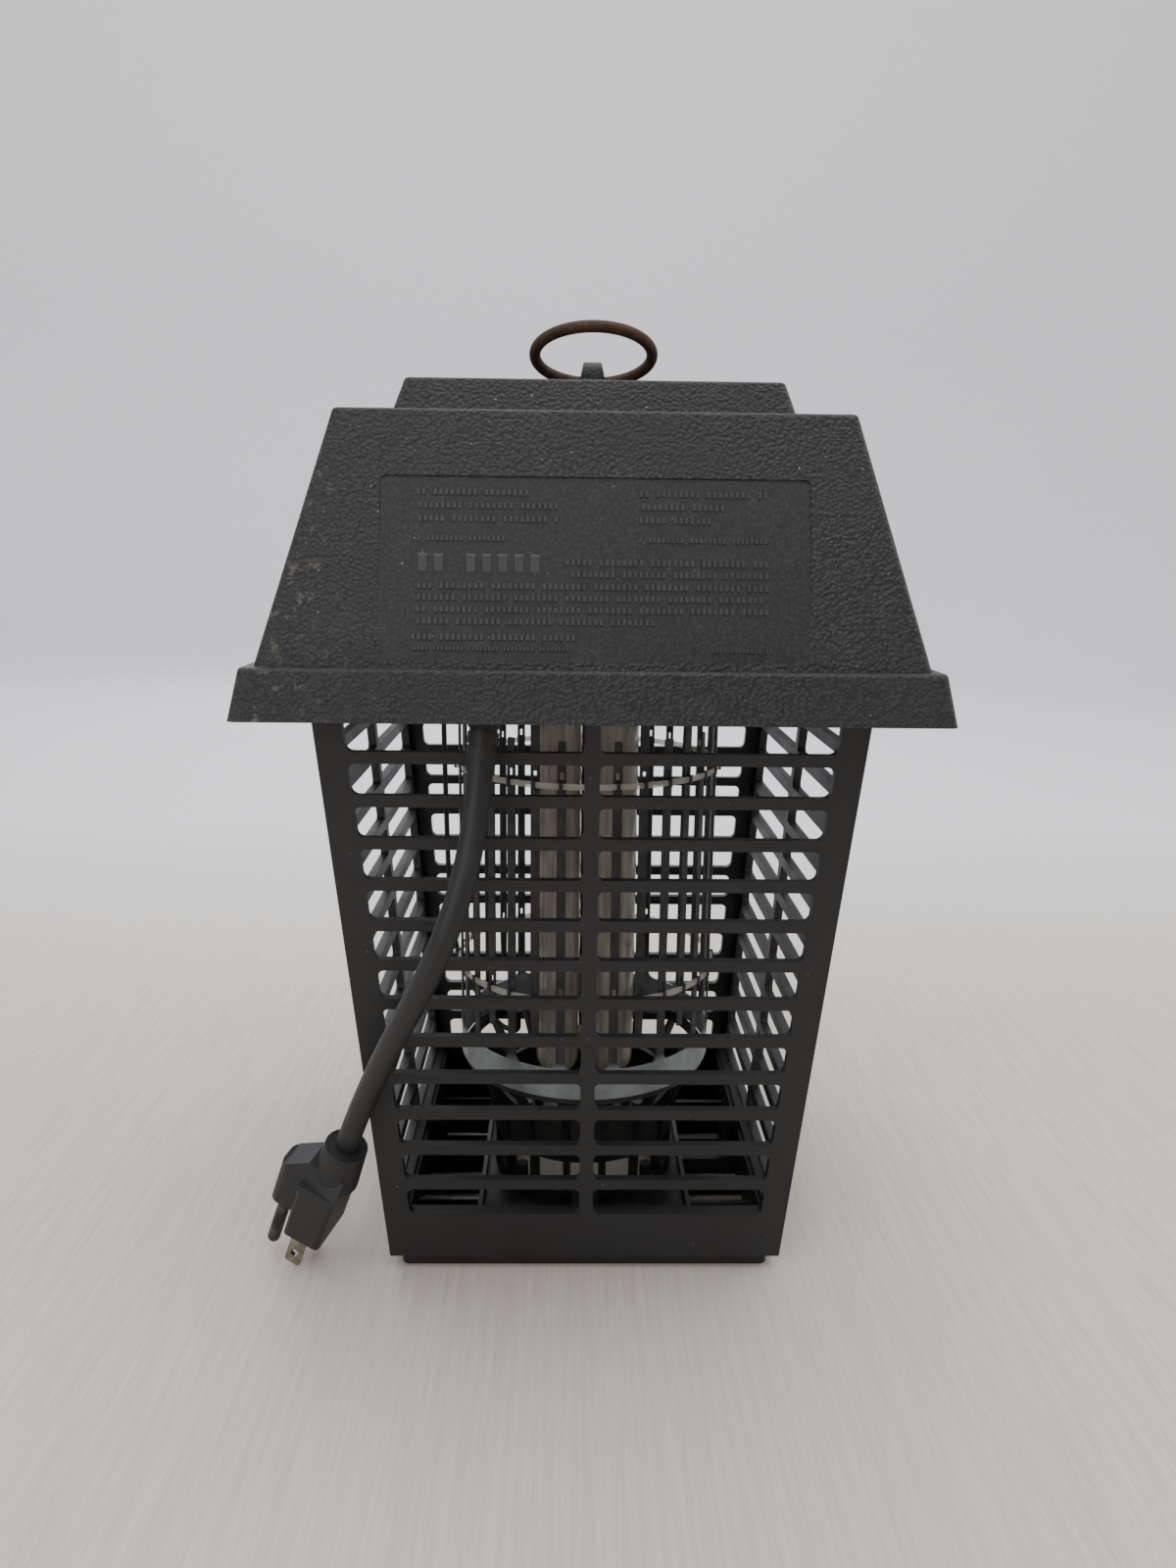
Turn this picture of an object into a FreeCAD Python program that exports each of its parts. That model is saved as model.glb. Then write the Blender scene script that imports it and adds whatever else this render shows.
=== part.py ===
import FreeCAD, Part
import math
import os

# Outdoor electric insect killer: a lantern with a hipped roof, a slatted cage, a ring of
# charged fingers round an ultraviolet lamp, and a short lead with a grounded plug.
# Millimetres.  +Z is up, the front faces -Y, and the origin is the middle of the foot.

V = FreeCAD.Vector
UP = V(0, 0, 1)

# ---------------------------------------------------------------- driving dimensions
# Cage: four tapering grille panels
cage_top_z = 218.5          # height of the panels' top edge above the floor
cage_top_half = 91.3        # half width across the outer faces at the top edge
cage_foot_half = 73.7       # half width across the outer faces at the bottom edge
cage_foot_z = 6.0           # the panels stop this far above the floor
panel_wall = 3.4
panel_joint_gap = 0.10      # half of the gap along each mitred corner
corner_margin = 9.6         # width of solid panel beside each corner
centre_bar = 5.0
bar_pitch = 14.84
bar_height = 4.1
first_window_sill = 24.9    # top of the solid band along the bottom
window_corner = 2.6
window_corner_inner = 2.0
panel_pad_width = 10.0
panel_pad_depth = 10.0
panel_ledge_depth = 3.6
panel_ledge_height = 3.0
seat_clearance = 0.35       # between the panels and what they slide over

# Base tray
base_rim_top = 21.0
base_wall = 3.0
base_corner = 3.0
base_web_bottom = 2.5
base_web_top = 5.5
louvre_pitch = 16.5
louvre_thickness = 2.0
louvre_bottom = 0.8
louvre_top = 8.6
louvre_lean = 8.0           # degrees
bank_wall = 1.6
bank_wall_top = 11.0
hub_ring_top = 7.0
base_boss_diameter = 7.0
base_screw_seat = 4.0       # depth of the pocket that hides each screw's head
drain_slot_width = 3.0
drain_slot_length = 14.0
drain_slot_places = (-24.0, -16.0, 16.0, 24.0)
gusset_half = 2.0
head_clearance = 0.3

# Killing grid: two sets of upright fingers on one circle
grid_radius = 52.6          # outer face of the fingers
sheet = 0.8                 # galvanised sheet
finger_count = 16           # on each electrode
finger_width = 3.5
finger_tip_width = 2.7
finger_tip_length = 12.0
lower_plate_top = 60.0      # of the tabs that the lower electrode is screwed down by
band_height = 12.0          # upright band that joins the lower fingers
band_inset = 0.05
foot_flare = 3.0            # each finger widens this much, each side, where it is joined
grid_tab_half = 4.5
grid_post_diameter = 9.0    # insulators between the upper electrode and the chassis
groove_radius = 0.9
groove_out = 0.4            # the groove's centre stands this far outside the insulator
upper_plate_inner = 38.0
upper_plate_drop = 6.5      # gap between the upper plate and the chassis
upper_tip_gap = 11.2        # rising fingers stop this far below the upper plate
lower_tip_gap = 23.4        # hanging fingers stop this far above the lower plate
hoop_height = 2.2
hoop_wall = 1.0
hoop_clearance = 0.15
hoop_from_upper_tip = 16.5
hoop_from_lower_tip = 16.0
tab_wall = 0.6
tab_width = 1.3
slot_width = 1.5
slot_height = 2.8
tab_slot_gap = 0.5

# Support that carries the lower electrode
drum_radius = 38.5
drum_wall = 2.5
drum_height = 19.5
drum_drop = 13.5            # the drum's rim is this far below the flange
flange_thickness = 2.7
flange_overhang = 1.2       # the electrode stands out past the flange
flange_width = 3.4
support_lug_half = 5.0
leg_width = 2.4
leg_depth = 3.4
leg_bulge = 3.0             # how far each leg stands out past the drum, at its knee
leg_knee_drop = 3.0         # the knee is this far below the drum's rim
foot_ring_height = 3.0
support_boss_diameter = 5.0
support_boss_height = 9.0
lug_landing_radius = 42.3   # where the lower grid's lead meets a lug

# Lamp
tube_diameter = 18.5
tube_spacing = 23.2
tube_length = 158.5         # from the dome's lowest point to the lamp base
tube_bridge = 8.0
lamp_base_size = (44.0, 22.0, 18.0)
lamp_neck_size = (38.0, 16.0, 6.0)
lamp_base_proud = 0.5       # the lamp base stops this far below the socket
pin_diameter = 2.3
pin_length = 6.0
socket_size = (52.0, 30.0, 20.0)
lamp_base_round = 3.0
socket_round = 2.0
socket_clearance = 0.3
pin_places = (-12.0, -4.0, 4.0, 12.0)
pin_clearance = 0.05

# Roof
eave_overhang = 20.7        # past the cage's top edge, on each side
eave_drop = 2.6             # the eave hangs below the cage's top edge
flange_height = 16.1
flange_inset = 3.3
flange_ledge = 3.0
slope_height = 78.5
slope_inset = 23.2
shoulder = 14.9
deck_height = 11.9
deck_inset = 5.0
roof_wall = 2.5
roof_corner = 3.0
roof_edge = 1.4
plaque_half_width = 67.0
plaque_foot = 1.6
plaque_height = 59.0
plaque_depth = 0.6
plaque_round = 2.0
roof_boss_inset = 12.5
roof_boss_diameter = 9.0
roof_boss_height = 34.0

# Hanging lug and ring
lug_height = 14.4
lug_top_half = 3.3
lug_base_half = 6.8
lug_depth_half = 7.5
lug_top_round = 5.0
lug_hole_diameter = 6.0
lug_hole_height = 7.2
ring_radius = 21.2
ring_wire = 4.1
ring_lean = 18.0            # degrees above level, leaning to the front

# Chassis plate
chassis_wall = 3.0
chassis_clearance = 0.6
chassis_rib = 2.0
chassis_rib_height = 6.0
vent_slot_width = 3.0
vent_slot_length = 14.0
vent_at = 35.0
vent_count = 6
vent_slot_pitch = 9.0
chassis_boss_height = 4.0
chassis_boss_diameter = 8.0

# Fasteners
screw_shank = 3.0
screw_clearance = 0.06
screw_head = 6.2
screw_head_height = 2.2
screw_slot = 0.8
screw_end_gap = 0.4         # each screw stops this far short of the far face

# Electrics under the roof
lead_diameter = 2.4
lead_pitch = 1.8             # half the distance between two leads in one connector
lead_rise = 10.0            # straight length of a lead as it leaves a fitting
strap_wall = 1.2
strap_foot = 10.0
strap_clearance = 1.0
coil_gap = 0.4
landing_in = 0.2            # share of the winding's depth past the core's leg where a lead lands
transformer_at = (-53.5, 0.0)
transformer_size = (50.0, 24.0, 46.0)
transformer_leg = 9.0
ballast_at = (54.0, 0.0)
ballast_size = (44.0, 20.0, 38.0)
ballast_leg = 7.5
starter_at = (0.0, 62.0)
starter_diameter = 21.0
starter_height = 33.0
starter_socket_diameter = 26.0
starter_socket_height = 10.0
starter_sink = 4.0
starter_clearance = 0.2
starter_round = 2.0
wire_nut_places = ((14.0, -62.0), (34.0, -62.0))
wire_nut_diameter = 11.0
wire_nut_height = 20.0
wire_nut_skirt = 1.0
wire_nut_skirt_height = 5.0
ground_screw_at = (-56.0, -70.0)

# Mains lead and plug
cord_diameter = 8.4
relief_length = 20.0
relief_root = 10.6
gland_neck = 12.0           # through the chassis
relief_tip = 9.2
gland_flange = 17.0
gland_flange_height = 3.0
gland_centre = (-34.2, -98.0)
relief_grooves = 3
relief_lean = V(-0.08, -0.20, -0.9765)
cord_first_run = 17.0       # straight out of the relief
cord_last_run = 17.0        # straight into the plug
cord_bends = [
    V(-41.3, -115.0, 162.0),
    V(-49.5, -118.0, 140.5),
    V(-59.5, -111.0, 120.0),
    V(-69.0, -100.0, 100.5),
]
plug_face = V(-104.1, -68.7, 18.0)      # middle of the front face, between the blades
plug_axis = V(-0.324, 0.25, -0.912)
plug_across = V(0.900, -0.234, -0.363)  # along each blade's width
plug_entry_offset = 3.5
plug_length = 43.0
plug_block_x = (-6.0, 9.0)
plug_block_half = 11.0
plug_block_length = 24.0
plug_lobe_setback = 7.0
plug_shoulder = 7.0
plug_collar = 15.6
blade_width = 6.35
blade_thickness = 1.5
blade_length = 17.0
blade_spacing = 12.7
blade_hole = 3.2
ground_pin_diameter = 4.8
ground_pin_length = 20.0
ground_pin_offset = 11.9

# ---------------------------------------------------------------- derived dimensions
cage_slope = (cage_top_half - cage_foot_half) / (cage_top_z - cage_foot_z)
chassis_top = cage_top_z + chassis_wall
eave_z = cage_top_z - eave_drop
eave_half = cage_top_half + eave_overhang
flange_top_z = eave_z + flange_height
slope_foot_half = eave_half - flange_inset - flange_ledge
slope_top_z = flange_top_z + slope_height
slope_top_half = slope_foot_half - slope_inset
deck_foot_half = slope_top_half - shoulder
deck_top_z = slope_top_z + deck_height
deck_top_half = deck_foot_half - deck_inset
hinge_z = deck_top_z + lug_hole_height
roof_boss_at = eave_half - roof_boss_inset - roof_wall

upper_plate_z = cage_top_z - upper_plate_drop
rising_tip_z = upper_plate_z - sheet - upper_tip_gap
hanging_tip_z = lower_plate_top + lower_tip_gap
upper_hoop_z = rising_tip_z - hoop_from_upper_tip
lower_hoop_z = hanging_tip_z + hoop_from_lower_tip
plate_bottom_z = lower_plate_top - sheet
flange_bottom_z = plate_bottom_z - flange_thickness
drum_rim_z = flange_bottom_z - drum_drop
drum_bottom_z = drum_rim_z - drum_height
screw_circle = grid_radius - 7.0

base_half = cage_foot_half - panel_wall - seat_clearance
base_inner_half = base_half - base_wall
hub_inner = drum_radius - 4.0
bank_inner = drum_radius + 2.5
base_boss_centre = base_inner_half - base_boss_diameter / 2
finger_step = 360.0 / (2 * finger_count)
cage_screw_at = cage_top_half - panel_pad_depth + 3.5
lamp_base_bottom = chassis_top - lamp_base_proud - lamp_base_size[2]
down_lead_at = cage_foot_half - panel_wall - 4.5


def cage_half(z):
    """Half width across the panels' outer faces at height z."""
    return cage_foot_half + cage_slope * (z - cage_foot_z)


def roof_inner_half(z):
    """Half width of the cavity under the main slope at height z."""
    run = slope_inset / slope_height
    return slope_foot_half - run * (z - flange_top_z) - roof_wall


# ---------------------------------------------------------------- shape helpers
def block(x0, x1, y0, y1, z0, z1):
    return Part.makeBox(x1 - x0, y1 - y0, z1 - z0, V(x0, y0, z0))


def centred_block(size, x, y, z0):
    return block(x - size[0] / 2, x + size[0] / 2, y - size[1] / 2, y + size[1] / 2, z0, z0 + size[2])


def post(diameter, x, y, z0, z1):
    return Part.makeCylinder(diameter / 2, z1 - z0, V(x, y, z0))


def disc_ring(outer, inner, z0, z1):
    ring = Part.makeCylinder(outer, z1 - z0, V(0, 0, z0))
    return ring.cut(Part.makeCylinder(inner, z1 - z0, V(0, 0, z0)))


def square_loop(half, z):
    corners = [V(-half, -half, z), V(half, -half, z), V(half, half, z), V(-half, half, z)]
    return Part.makePolygon(corners + corners[:1])


def frustum(half0, half1, z0, z1):
    return Part.makeLoft([square_loop(half0, z0), square_loop(half1, z1)], True, True)


def edges_where(shape, test):
    return [e for e in shape.Edges if test(e)]


def is_steep(edge):
    a, b = edge.Vertexes[0].Point, edge.Vertexes[-1].Point
    return abs(a.z - b.z) > 0.5


def is_level_at(z):
    def test(edge):
        return all(abs(v.Point.z - z) < 1e-6 for v in edge.Vertexes)
    return test


def rounded_outline(points, radii):
    """Closed wire through the points, each corner rounded by a tangent arc."""
    starts, ends, middles = [], [], []
    count = len(points)
    for i, corner in enumerate(points):
        before = (points[i - 1] - corner).normalize()
        after = (points[(i + 1) % count] - corner).normalize()
        half_angle = before.getAngle(after) / 2
        setback = radii[i] / math.tan(half_angle)
        bisector = (before + after).normalize()
        centre = corner + bisector * (radii[i] / math.sin(half_angle))
        starts.append(corner + before * setback)
        ends.append(corner + after * setback)
        middles.append(centre - bisector * radii[i])
    edges = []
    for i in range(count):
        edges.append(Part.Arc(starts[i], middles[i], ends[i]).toShape())
        edges.append(Part.LineSegment(ends[i], starts[(i + 1) % count]).toShape())
    return Part.Wire(Part.__sortEdges__(edges))


def prism(points, radii, depth):
    return Part.Face(rounded_outline(points, radii)).extrude(depth)


def turned(shape, degrees, centre=V(0, 0, 0), axis=UP):
    copy = shape.copy()
    copy.rotate(centre, axis, degrees)
    return copy


def around(shape, count, first=0.0):
    return [turned(shape, first + 360.0 * i / count) for i in range(count)]


def joined(shapes):
    solid = shapes[0].fuse(shapes[1:]) if len(shapes) > 1 else shapes[0]
    return solid.removeSplitter()


def placed(shape, origin, along_x, along_y, along_z):
    """The shape, moved from its own axes to an origin and three unit directions."""
    matrix = FreeCAD.Matrix(
        along_x.x, along_y.x, along_z.x, origin.x,
        along_x.y, along_y.y, along_z.y, origin.y,
        along_x.z, along_y.z, along_z.z, origin.z,
        0, 0, 0, 1)
    copy = shape.copy()
    copy.Placement = FreeCAD.Placement(matrix)
    return copy


def path_wire(points, report=""):
    """Straight runs joined by tangent arcs as large as the runs allow."""
    edges, here = [], points[0]
    radii = []
    for before, corner, after in zip(points, points[1:], points[2:]):
        back = (before - corner)
        ahead = (after - corner)
        turn = math.pi - back.getAngle(ahead)
        setback = 0.45 * min(back.Length, ahead.Length)
        radius = setback / math.tan(turn / 2)
        radii.append(radius)
        back.normalize()
        ahead.normalize()
        centre = corner + (back + ahead).normalize() * (radius / math.cos(turn / 2))
        start = corner + back * setback
        end = corner + ahead * setback
        middle = centre + (corner - centre).normalize() * radius
        edges.append(Part.LineSegment(here, start).toShape())
        edges.append(Part.Arc(start, middle, end).toShape())
        here = end
    edges.append(Part.LineSegment(here, points[-1]).toShape())
    if report:
        print(report, "bend radii", [round(r, 1) for r in radii])
    return Part.Wire(edges)


def round_tube(points, diameter, report=""):
    path = path_wire(points, report)
    direction = points[1] - points[0]
    section = Part.Wire(Part.makeCircle(diameter / 2, points[0], direction))
    tube = path.makePipeShell([section], True, False)
    if report:
        exact = math.pi * diameter ** 2 / 4 * path.Length
        print(report, "length", round(path.Length, 1), "volume ratio", round(tube.Volume / exact, 4))
    return tube


def screw(x, y, seat_z, reach, upward):
    """Pan head screw with a cross recess; the head seats at seat_z and the shank goes up or down."""
    head = Part.makeCylinder(screw_head / 2, screw_head_height, V(0, 0, -screw_head_height))
    rim = edges_where(head, is_level_at(-screw_head_height))
    head = head.makeFillet(0.8, rim)
    for turn in (0, 90):
        slot = (2 * screw_head, screw_slot, 1.0)
        cut = centred_block(slot, 0, 0, -screw_head_height)
        keep = Part.makeCylinder(screw_head / 3, 2, V(0, 0, -screw_head_height - 0.5))
        head = head.cut(turned(cut.common(keep), turn))
    shank = Part.makeCylinder(screw_shank / 2 - screw_clearance, reach, V(0, 0, 0))
    tip = edges_where(shank, is_level_at(reach))
    whole = head.fuse(shank.makeChamfer(0.7, tip))
    if not upward:
        whole = turned(whole, 180, axis=V(1, 0, 0))
    whole.translate(V(x, y, seat_z))
    return whole


def screw_hole(x, y, z0, z1):
    return post(screw_shank, x, y, z0, z1)


def four_corners(distance):
    return [(sx * distance, sy * distance) for sx in (-1, 1) for sy in (-1, 1)]


def four_sides(distance):
    return [(0, -distance), (distance, 0), (0, distance), (-distance, 0)]


def save(name, shape):
    if shape.ShapeType == "Compound" and len(shape.Solids) == 1:
        shape = shape.Solids[0]
    shape.exportStep("parts/" + name + ".step")


def save_group(name, shapes):
    Part.makeCompound([s.Solids[0] for s in shapes]).exportStep("parts/" + name + ".step")


# ---------------------------------------------------------------- roof and ring
def roof_tier(half0, half1, z0, z1):
    """One outside tier of the roof, with rounded corners and a rounded top edge."""
    tier = frustum(half0, half1, z0, z1)
    tier = tier.makeFillet(roof_corner, edges_where(tier, is_steep))
    return tier.makeFillet(roof_edge, edges_where(tier, is_level_at(z1)))


def hanging_lug():
    base, top = deck_top_z - roof_wall, deck_top_z + lug_height
    front = [V(-lug_base_half, -50, base), V(lug_base_half, -50, base)]
    front += [V(lug_top_half, -50, top), V(-lug_top_half, -50, top)]
    front_prism = prism(front, [0.2, 0.2, 1.2, 1.2], V(0, 100, 0))
    side = [V(-50, -lug_depth_half, base), V(-50, lug_depth_half, base)]
    side += [V(-50, lug_depth_half * 0.85, top), V(-50, -lug_depth_half * 0.85, top)]
    side_prism = prism(side, [0.2, 0.2, lug_top_round, lug_top_round], V(100, 0, 0))
    hole = Part.makeCylinder(lug_hole_diameter / 2, 100, V(-50, 0, hinge_z), V(1, 0, 0))
    return front_prism.common(side_prism).cut(hole)


def plaque_recess():
    """Shallow rectangular recess in the front slope, where a rating plate would be."""
    up_slope = V(0, slope_inset, slope_height).normalize()
    outward = V(0, -slope_height, slope_inset).normalize()
    foot = V(0, -slope_foot_half, flange_top_z)
    w, h0 = plaque_half_width, plaque_foot
    h1 = plaque_foot + plaque_height
    outline = [V(-w, h0, 0), V(w, h0, 0), V(w, h1, 0), V(-w, h1, 0)]
    plate = prism(outline, [plaque_round] * 4, V(0, 0, 5))
    return placed(plate, foot - outward * plaque_depth, V(1, 0, 0), up_slope, outward)


def make_roof():
    outer = joined([
        roof_tier(eave_half, eave_half - flange_inset, eave_z, flange_top_z),
        roof_tier(slope_foot_half, slope_top_half, flange_top_z - roof_wall, slope_top_z),
        roof_tier(deck_foot_half, deck_top_half, slope_top_z - roof_wall, deck_top_z)])
    w = roof_wall
    run = slope_inset / slope_height
    inner_foot = slope_foot_half - w + run * 2 * w
    inner_top = slope_top_half - w + run * w
    cavity = joined([
        frustum(eave_half - w, eave_half - flange_inset - w, eave_z, flange_top_z - w),
        frustum(inner_foot, inner_top, flange_top_z - 2 * w, slope_top_z - w),
        frustum(deck_foot_half - w, deck_top_half - w, slope_top_z - 2 * w, deck_top_z - w)])
    shell = outer.cut(cavity)
    bosses = []
    for x, y in four_corners(roof_boss_at):
        boss = post(roof_boss_diameter, x, y, chassis_top, chassis_top + roof_boss_height)
        bosses.append(boss.common(outer))
    shell = joined([shell] + bosses + [hanging_lug()])
    for x, y in four_corners(roof_boss_at):
        shell = shell.cut(screw_hole(x, y, chassis_top, chassis_top + 16))
    save("roof_cover", shell.cut(plaque_recess()))
    screws = [screw(x, y, cage_top_z, chassis_wall + 12, True) for x, y in four_corners(roof_boss_at)]
    save_group("roof_screws", screws)


def make_ring():
    lean = math.radians(ring_lean)
    reach = V(0, -math.cos(lean), math.sin(lean))
    centre = V(0, 0, hinge_z) + reach * ring_radius
    save("hanging_ring", Part.makeTorus(ring_radius, ring_wire / 2, centre, reach.cross(V(1, 0, 0))))


# ---------------------------------------------------------------- cage
def window_rows():
    """Heights of each window's sill and head, from the solid band up to the top edge."""
    rows = []
    sill = first_window_sill
    highest_head = cage_top_z - panel_ledge_height - 1.0
    while sill + bar_pitch - bar_height < highest_head:
        rows.append((sill, sill + bar_pitch - bar_height))
        sill += bar_pitch
    return rows


def window_cutter(sill, head, side):
    inner = side * centre_bar / 2
    low = side * (cage_half(sill) - corner_margin)
    high = side * (cage_half(head) - corner_margin)
    y = -cage_top_half - 1
    points = [V(inner, y, sill), V(low, y, sill), V(high, y, head), V(inner, y, head)]
    radii = [window_corner_inner, window_corner, window_corner, window_corner_inner]
    return prism(points, radii, V(0, cage_top_half, 0))


def make_cage():
    foot, top = cage_foot_z, cage_top_z
    outer = frustum(cage_foot_half, cage_top_half, foot, top)
    inner = frustum(cage_foot_half - panel_wall, cage_top_half - panel_wall, foot, top)
    shell = outer.cut(inner)

    ledge_top = base_rim_top + panel_ledge_height
    wide = frustum(cage_half(base_rim_top) - 1, cage_half(ledge_top) - 1, base_rim_top, ledge_top)
    reach = panel_wall + panel_ledge_depth
    narrow = frustum(cage_half(base_rim_top) - reach, cage_half(ledge_top) - reach, base_rim_top, ledge_top)
    shell = shell.fuse(wide.cut(narrow))

    far = cage_top_half * 2
    g = panel_joint_gap * math.sqrt(2)
    tip = V(0, -g, -1)
    wedge = Part.Face(Part.makePolygon([tip, V(-far, -far - g, -1), V(far, -far - g, -1), tip]))
    panel = shell.common(wedge.extrude(V(0, 0, top + 2)))

    pad_half = panel_pad_width / 2
    foot_y, top_y = cage_half(base_rim_top), cage_half(top)
    foot_pad = block(-pad_half, pad_half, -foot_y + 1, -base_boss_centre + 4, base_rim_top, ledge_top)
    top_pad = block(-pad_half, pad_half, -top_y + 1, -top_y + panel_pad_depth, top - panel_ledge_height, top)
    panel = joined([panel, foot_pad, top_pad])

    cutters = [window_cutter(sill, head, side) for sill, head in window_rows() for side in (-1, 1)]
    panel = panel.cut(cutters)
    panel = panel.cut(screw_hole(0, -base_boss_centre, base_rim_top, ledge_top))
    panel = panel.cut(screw_hole(0, -cage_screw_at, top - panel_ledge_height, top))
    for name, degrees in (("front", 0), ("right", 90), ("rear", 180), ("left", 270)):
        save("grille_" + name, turned(panel, degrees))

    reach = chassis_wall + panel_ledge_height - 0.5
    top_screws = [screw(x, y, chassis_top, reach, False) for x, y in four_sides(cage_screw_at)]
    save_group("cage_screws", top_screws)


# ---------------------------------------------------------------- base tray
def louvre_bank():
    """Upright slats between the tray's side wall and the bank's own wall, on the +X side."""
    slats = []
    count = int(2 * base_inner_half / louvre_pitch)
    first = -(count - 1) / 2 * louvre_pitch
    for i in range(count):
        y = first + i * louvre_pitch
        half = louvre_thickness / 2
        slat = block(bank_inner, base_inner_half + 0.5, y - half, y + half, louvre_bottom, louvre_top)
        slats.append(turned(slat, louvre_lean, V(0, y, louvre_bottom), V(1, 0, 0)))
    reach = base_inner_half + 0.5
    wall = block(bank_inner, bank_inner + bank_wall, -reach, reach, louvre_bottom, bank_wall_top)
    return slats + [wall]


def make_base():
    outer = frustum(base_half, base_half, 0, base_rim_top)
    outer = outer.makeFillet(base_corner, edges_where(outer, is_steep))
    inner = frustum(base_inner_half, base_inner_half, 0, base_rim_top)
    rim = outer.cut(inner)
    across = bank_inner + 0.5
    deep = base_inner_half + 0.5
    web = block(-across, across, -deep, deep, base_web_bottom, base_web_top)
    hub = disc_ring(drum_radius, hub_inner, base_web_bottom, hub_ring_top)
    web = web.cut(Part.makeCylinder(hub_inner, base_rim_top))
    bosses = [post(base_boss_diameter, x, y, 0, base_rim_top) for x, y in four_sides(base_boss_centre)]
    gusset = block(-gusset_half, gusset_half, -deep, -base_boss_centre - screw_shank, 0, base_rim_top)
    bosses += around(gusset, 4)
    bank = louvre_bank()
    tray = joined([rim, web, hub] + bosses + bank + [turned(s, 180) for s in bank])
    seat = base_screw_seat
    cuts = [screw_hole(x, y, seat, base_rim_top) for x, y in four_sides(base_boss_centre)]
    cuts += [post(screw_head + 2 * head_clearance, x, y, 0, seat) for x, y in four_sides(base_boss_centre)]
    cuts += [screw_hole(x, y, 0, hub_ring_top) for x, y in support_screw_places()]
    pocket = screw_head + 2 * head_clearance
    cuts += [post(pocket, x, y, 0, base_web_bottom + 1) for x, y in support_screw_places()]
    slot_y = (base_inner_half + drum_radius) / 2 + 3
    for x in drain_slot_places:
        for y in (-slot_y, slot_y):
            cuts.append(centred_block((drain_slot_width, drain_slot_length, 10), x, y, 0))
    tray = tray.cut(cuts)
    save("base_tray", tray)
    reach = base_rim_top - seat + panel_ledge_height - screw_end_gap
    base_screws = [screw(x, y, seat, reach, True) for x, y in four_sides(base_boss_centre)]
    save_group("base_screws", base_screws)


def support_screw_places():
    d = (drum_radius - 2.0) * math.sqrt(0.5)
    return four_corners(d)


# ---------------------------------------------------------------- grid
def finger(z_root, z_joint, z_tip):
    """Upright flat finger on the front of the circle: flared where it is joined, narrow at its tip."""
    direction = 1 if z_tip > z_root else -1
    shoulder_z = z_tip - direction * finger_tip_length
    a, b = finger_width / 2, finger_tip_width / 2
    wide = a + foot_flare
    side = [(wide, z_root), (wide, z_joint), (a, z_joint), (a, shoulder_z), (b, z_tip)]
    points = [V(x, -grid_radius, z) for x, z in side]
    points += [V(-x, -grid_radius, z) for x, z in reversed(side)]
    radii = [0.05, 0.05, foot_flare - 0.1, 0.6, 0.5]
    return prism(points, radii + radii[::-1], V(0, sheet, 0))


def hoop_tab(z):
    """A tab pressed out of the finger, over the hoop, down its outside and in under it."""
    reach = hoop_clearance * 2 + hoop_wall + tab_wall
    y = -grid_radius
    top = z + hoop_height / 2
    foot = z - hoop_height / 2
    half = tab_width / 2
    bridge = block(-half, half, y - reach, y + 0.1, top, top + tab_wall)
    leg = block(-half, half, y - reach, y - reach + tab_wall, foot - tab_wall, top + tab_wall)
    lip = block(-half, half, y - reach, y - hoop_clearance, foot - tab_wall, foot)
    return [bridge, leg, lip]


def tab_slot(z):
    z0 = z + hoop_height / 2 + tab_wall + tab_slot_gap
    return block(-slot_width / 2, slot_width / 2, -grid_radius - 1, -grid_radius + 2, z0, z0 + slot_height)


def fingers(z_root, z_joint, z_tip, first_angle):
    one = finger(z_root, z_joint, z_tip)
    one = one.fuse(hoop_tab(upper_hoop_z) + hoop_tab(lower_hoop_z))
    one = one.cut([tab_slot(upper_hoop_z), tab_slot(lower_hoop_z)]).removeSplitter()
    return around(one, finger_count, first_angle)


def corner_lugs(half, root_radius, z0, z1):
    """Four round-ended lugs that reach in from a ring to the grid's screw places."""
    lug = block(-half, half, -root_radius, -screw_circle, z0, z1)
    lug = lug.fuse(post(half * 2, 0, -screw_circle, z0, z1)).removeSplitter()
    return around(lug, 4, 45)


def grid_screw_holes(z0, z1):
    return [screw_hole(x, y, z0, z1) for x, y in four_corners(screw_circle * math.sqrt(0.5))]


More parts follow.
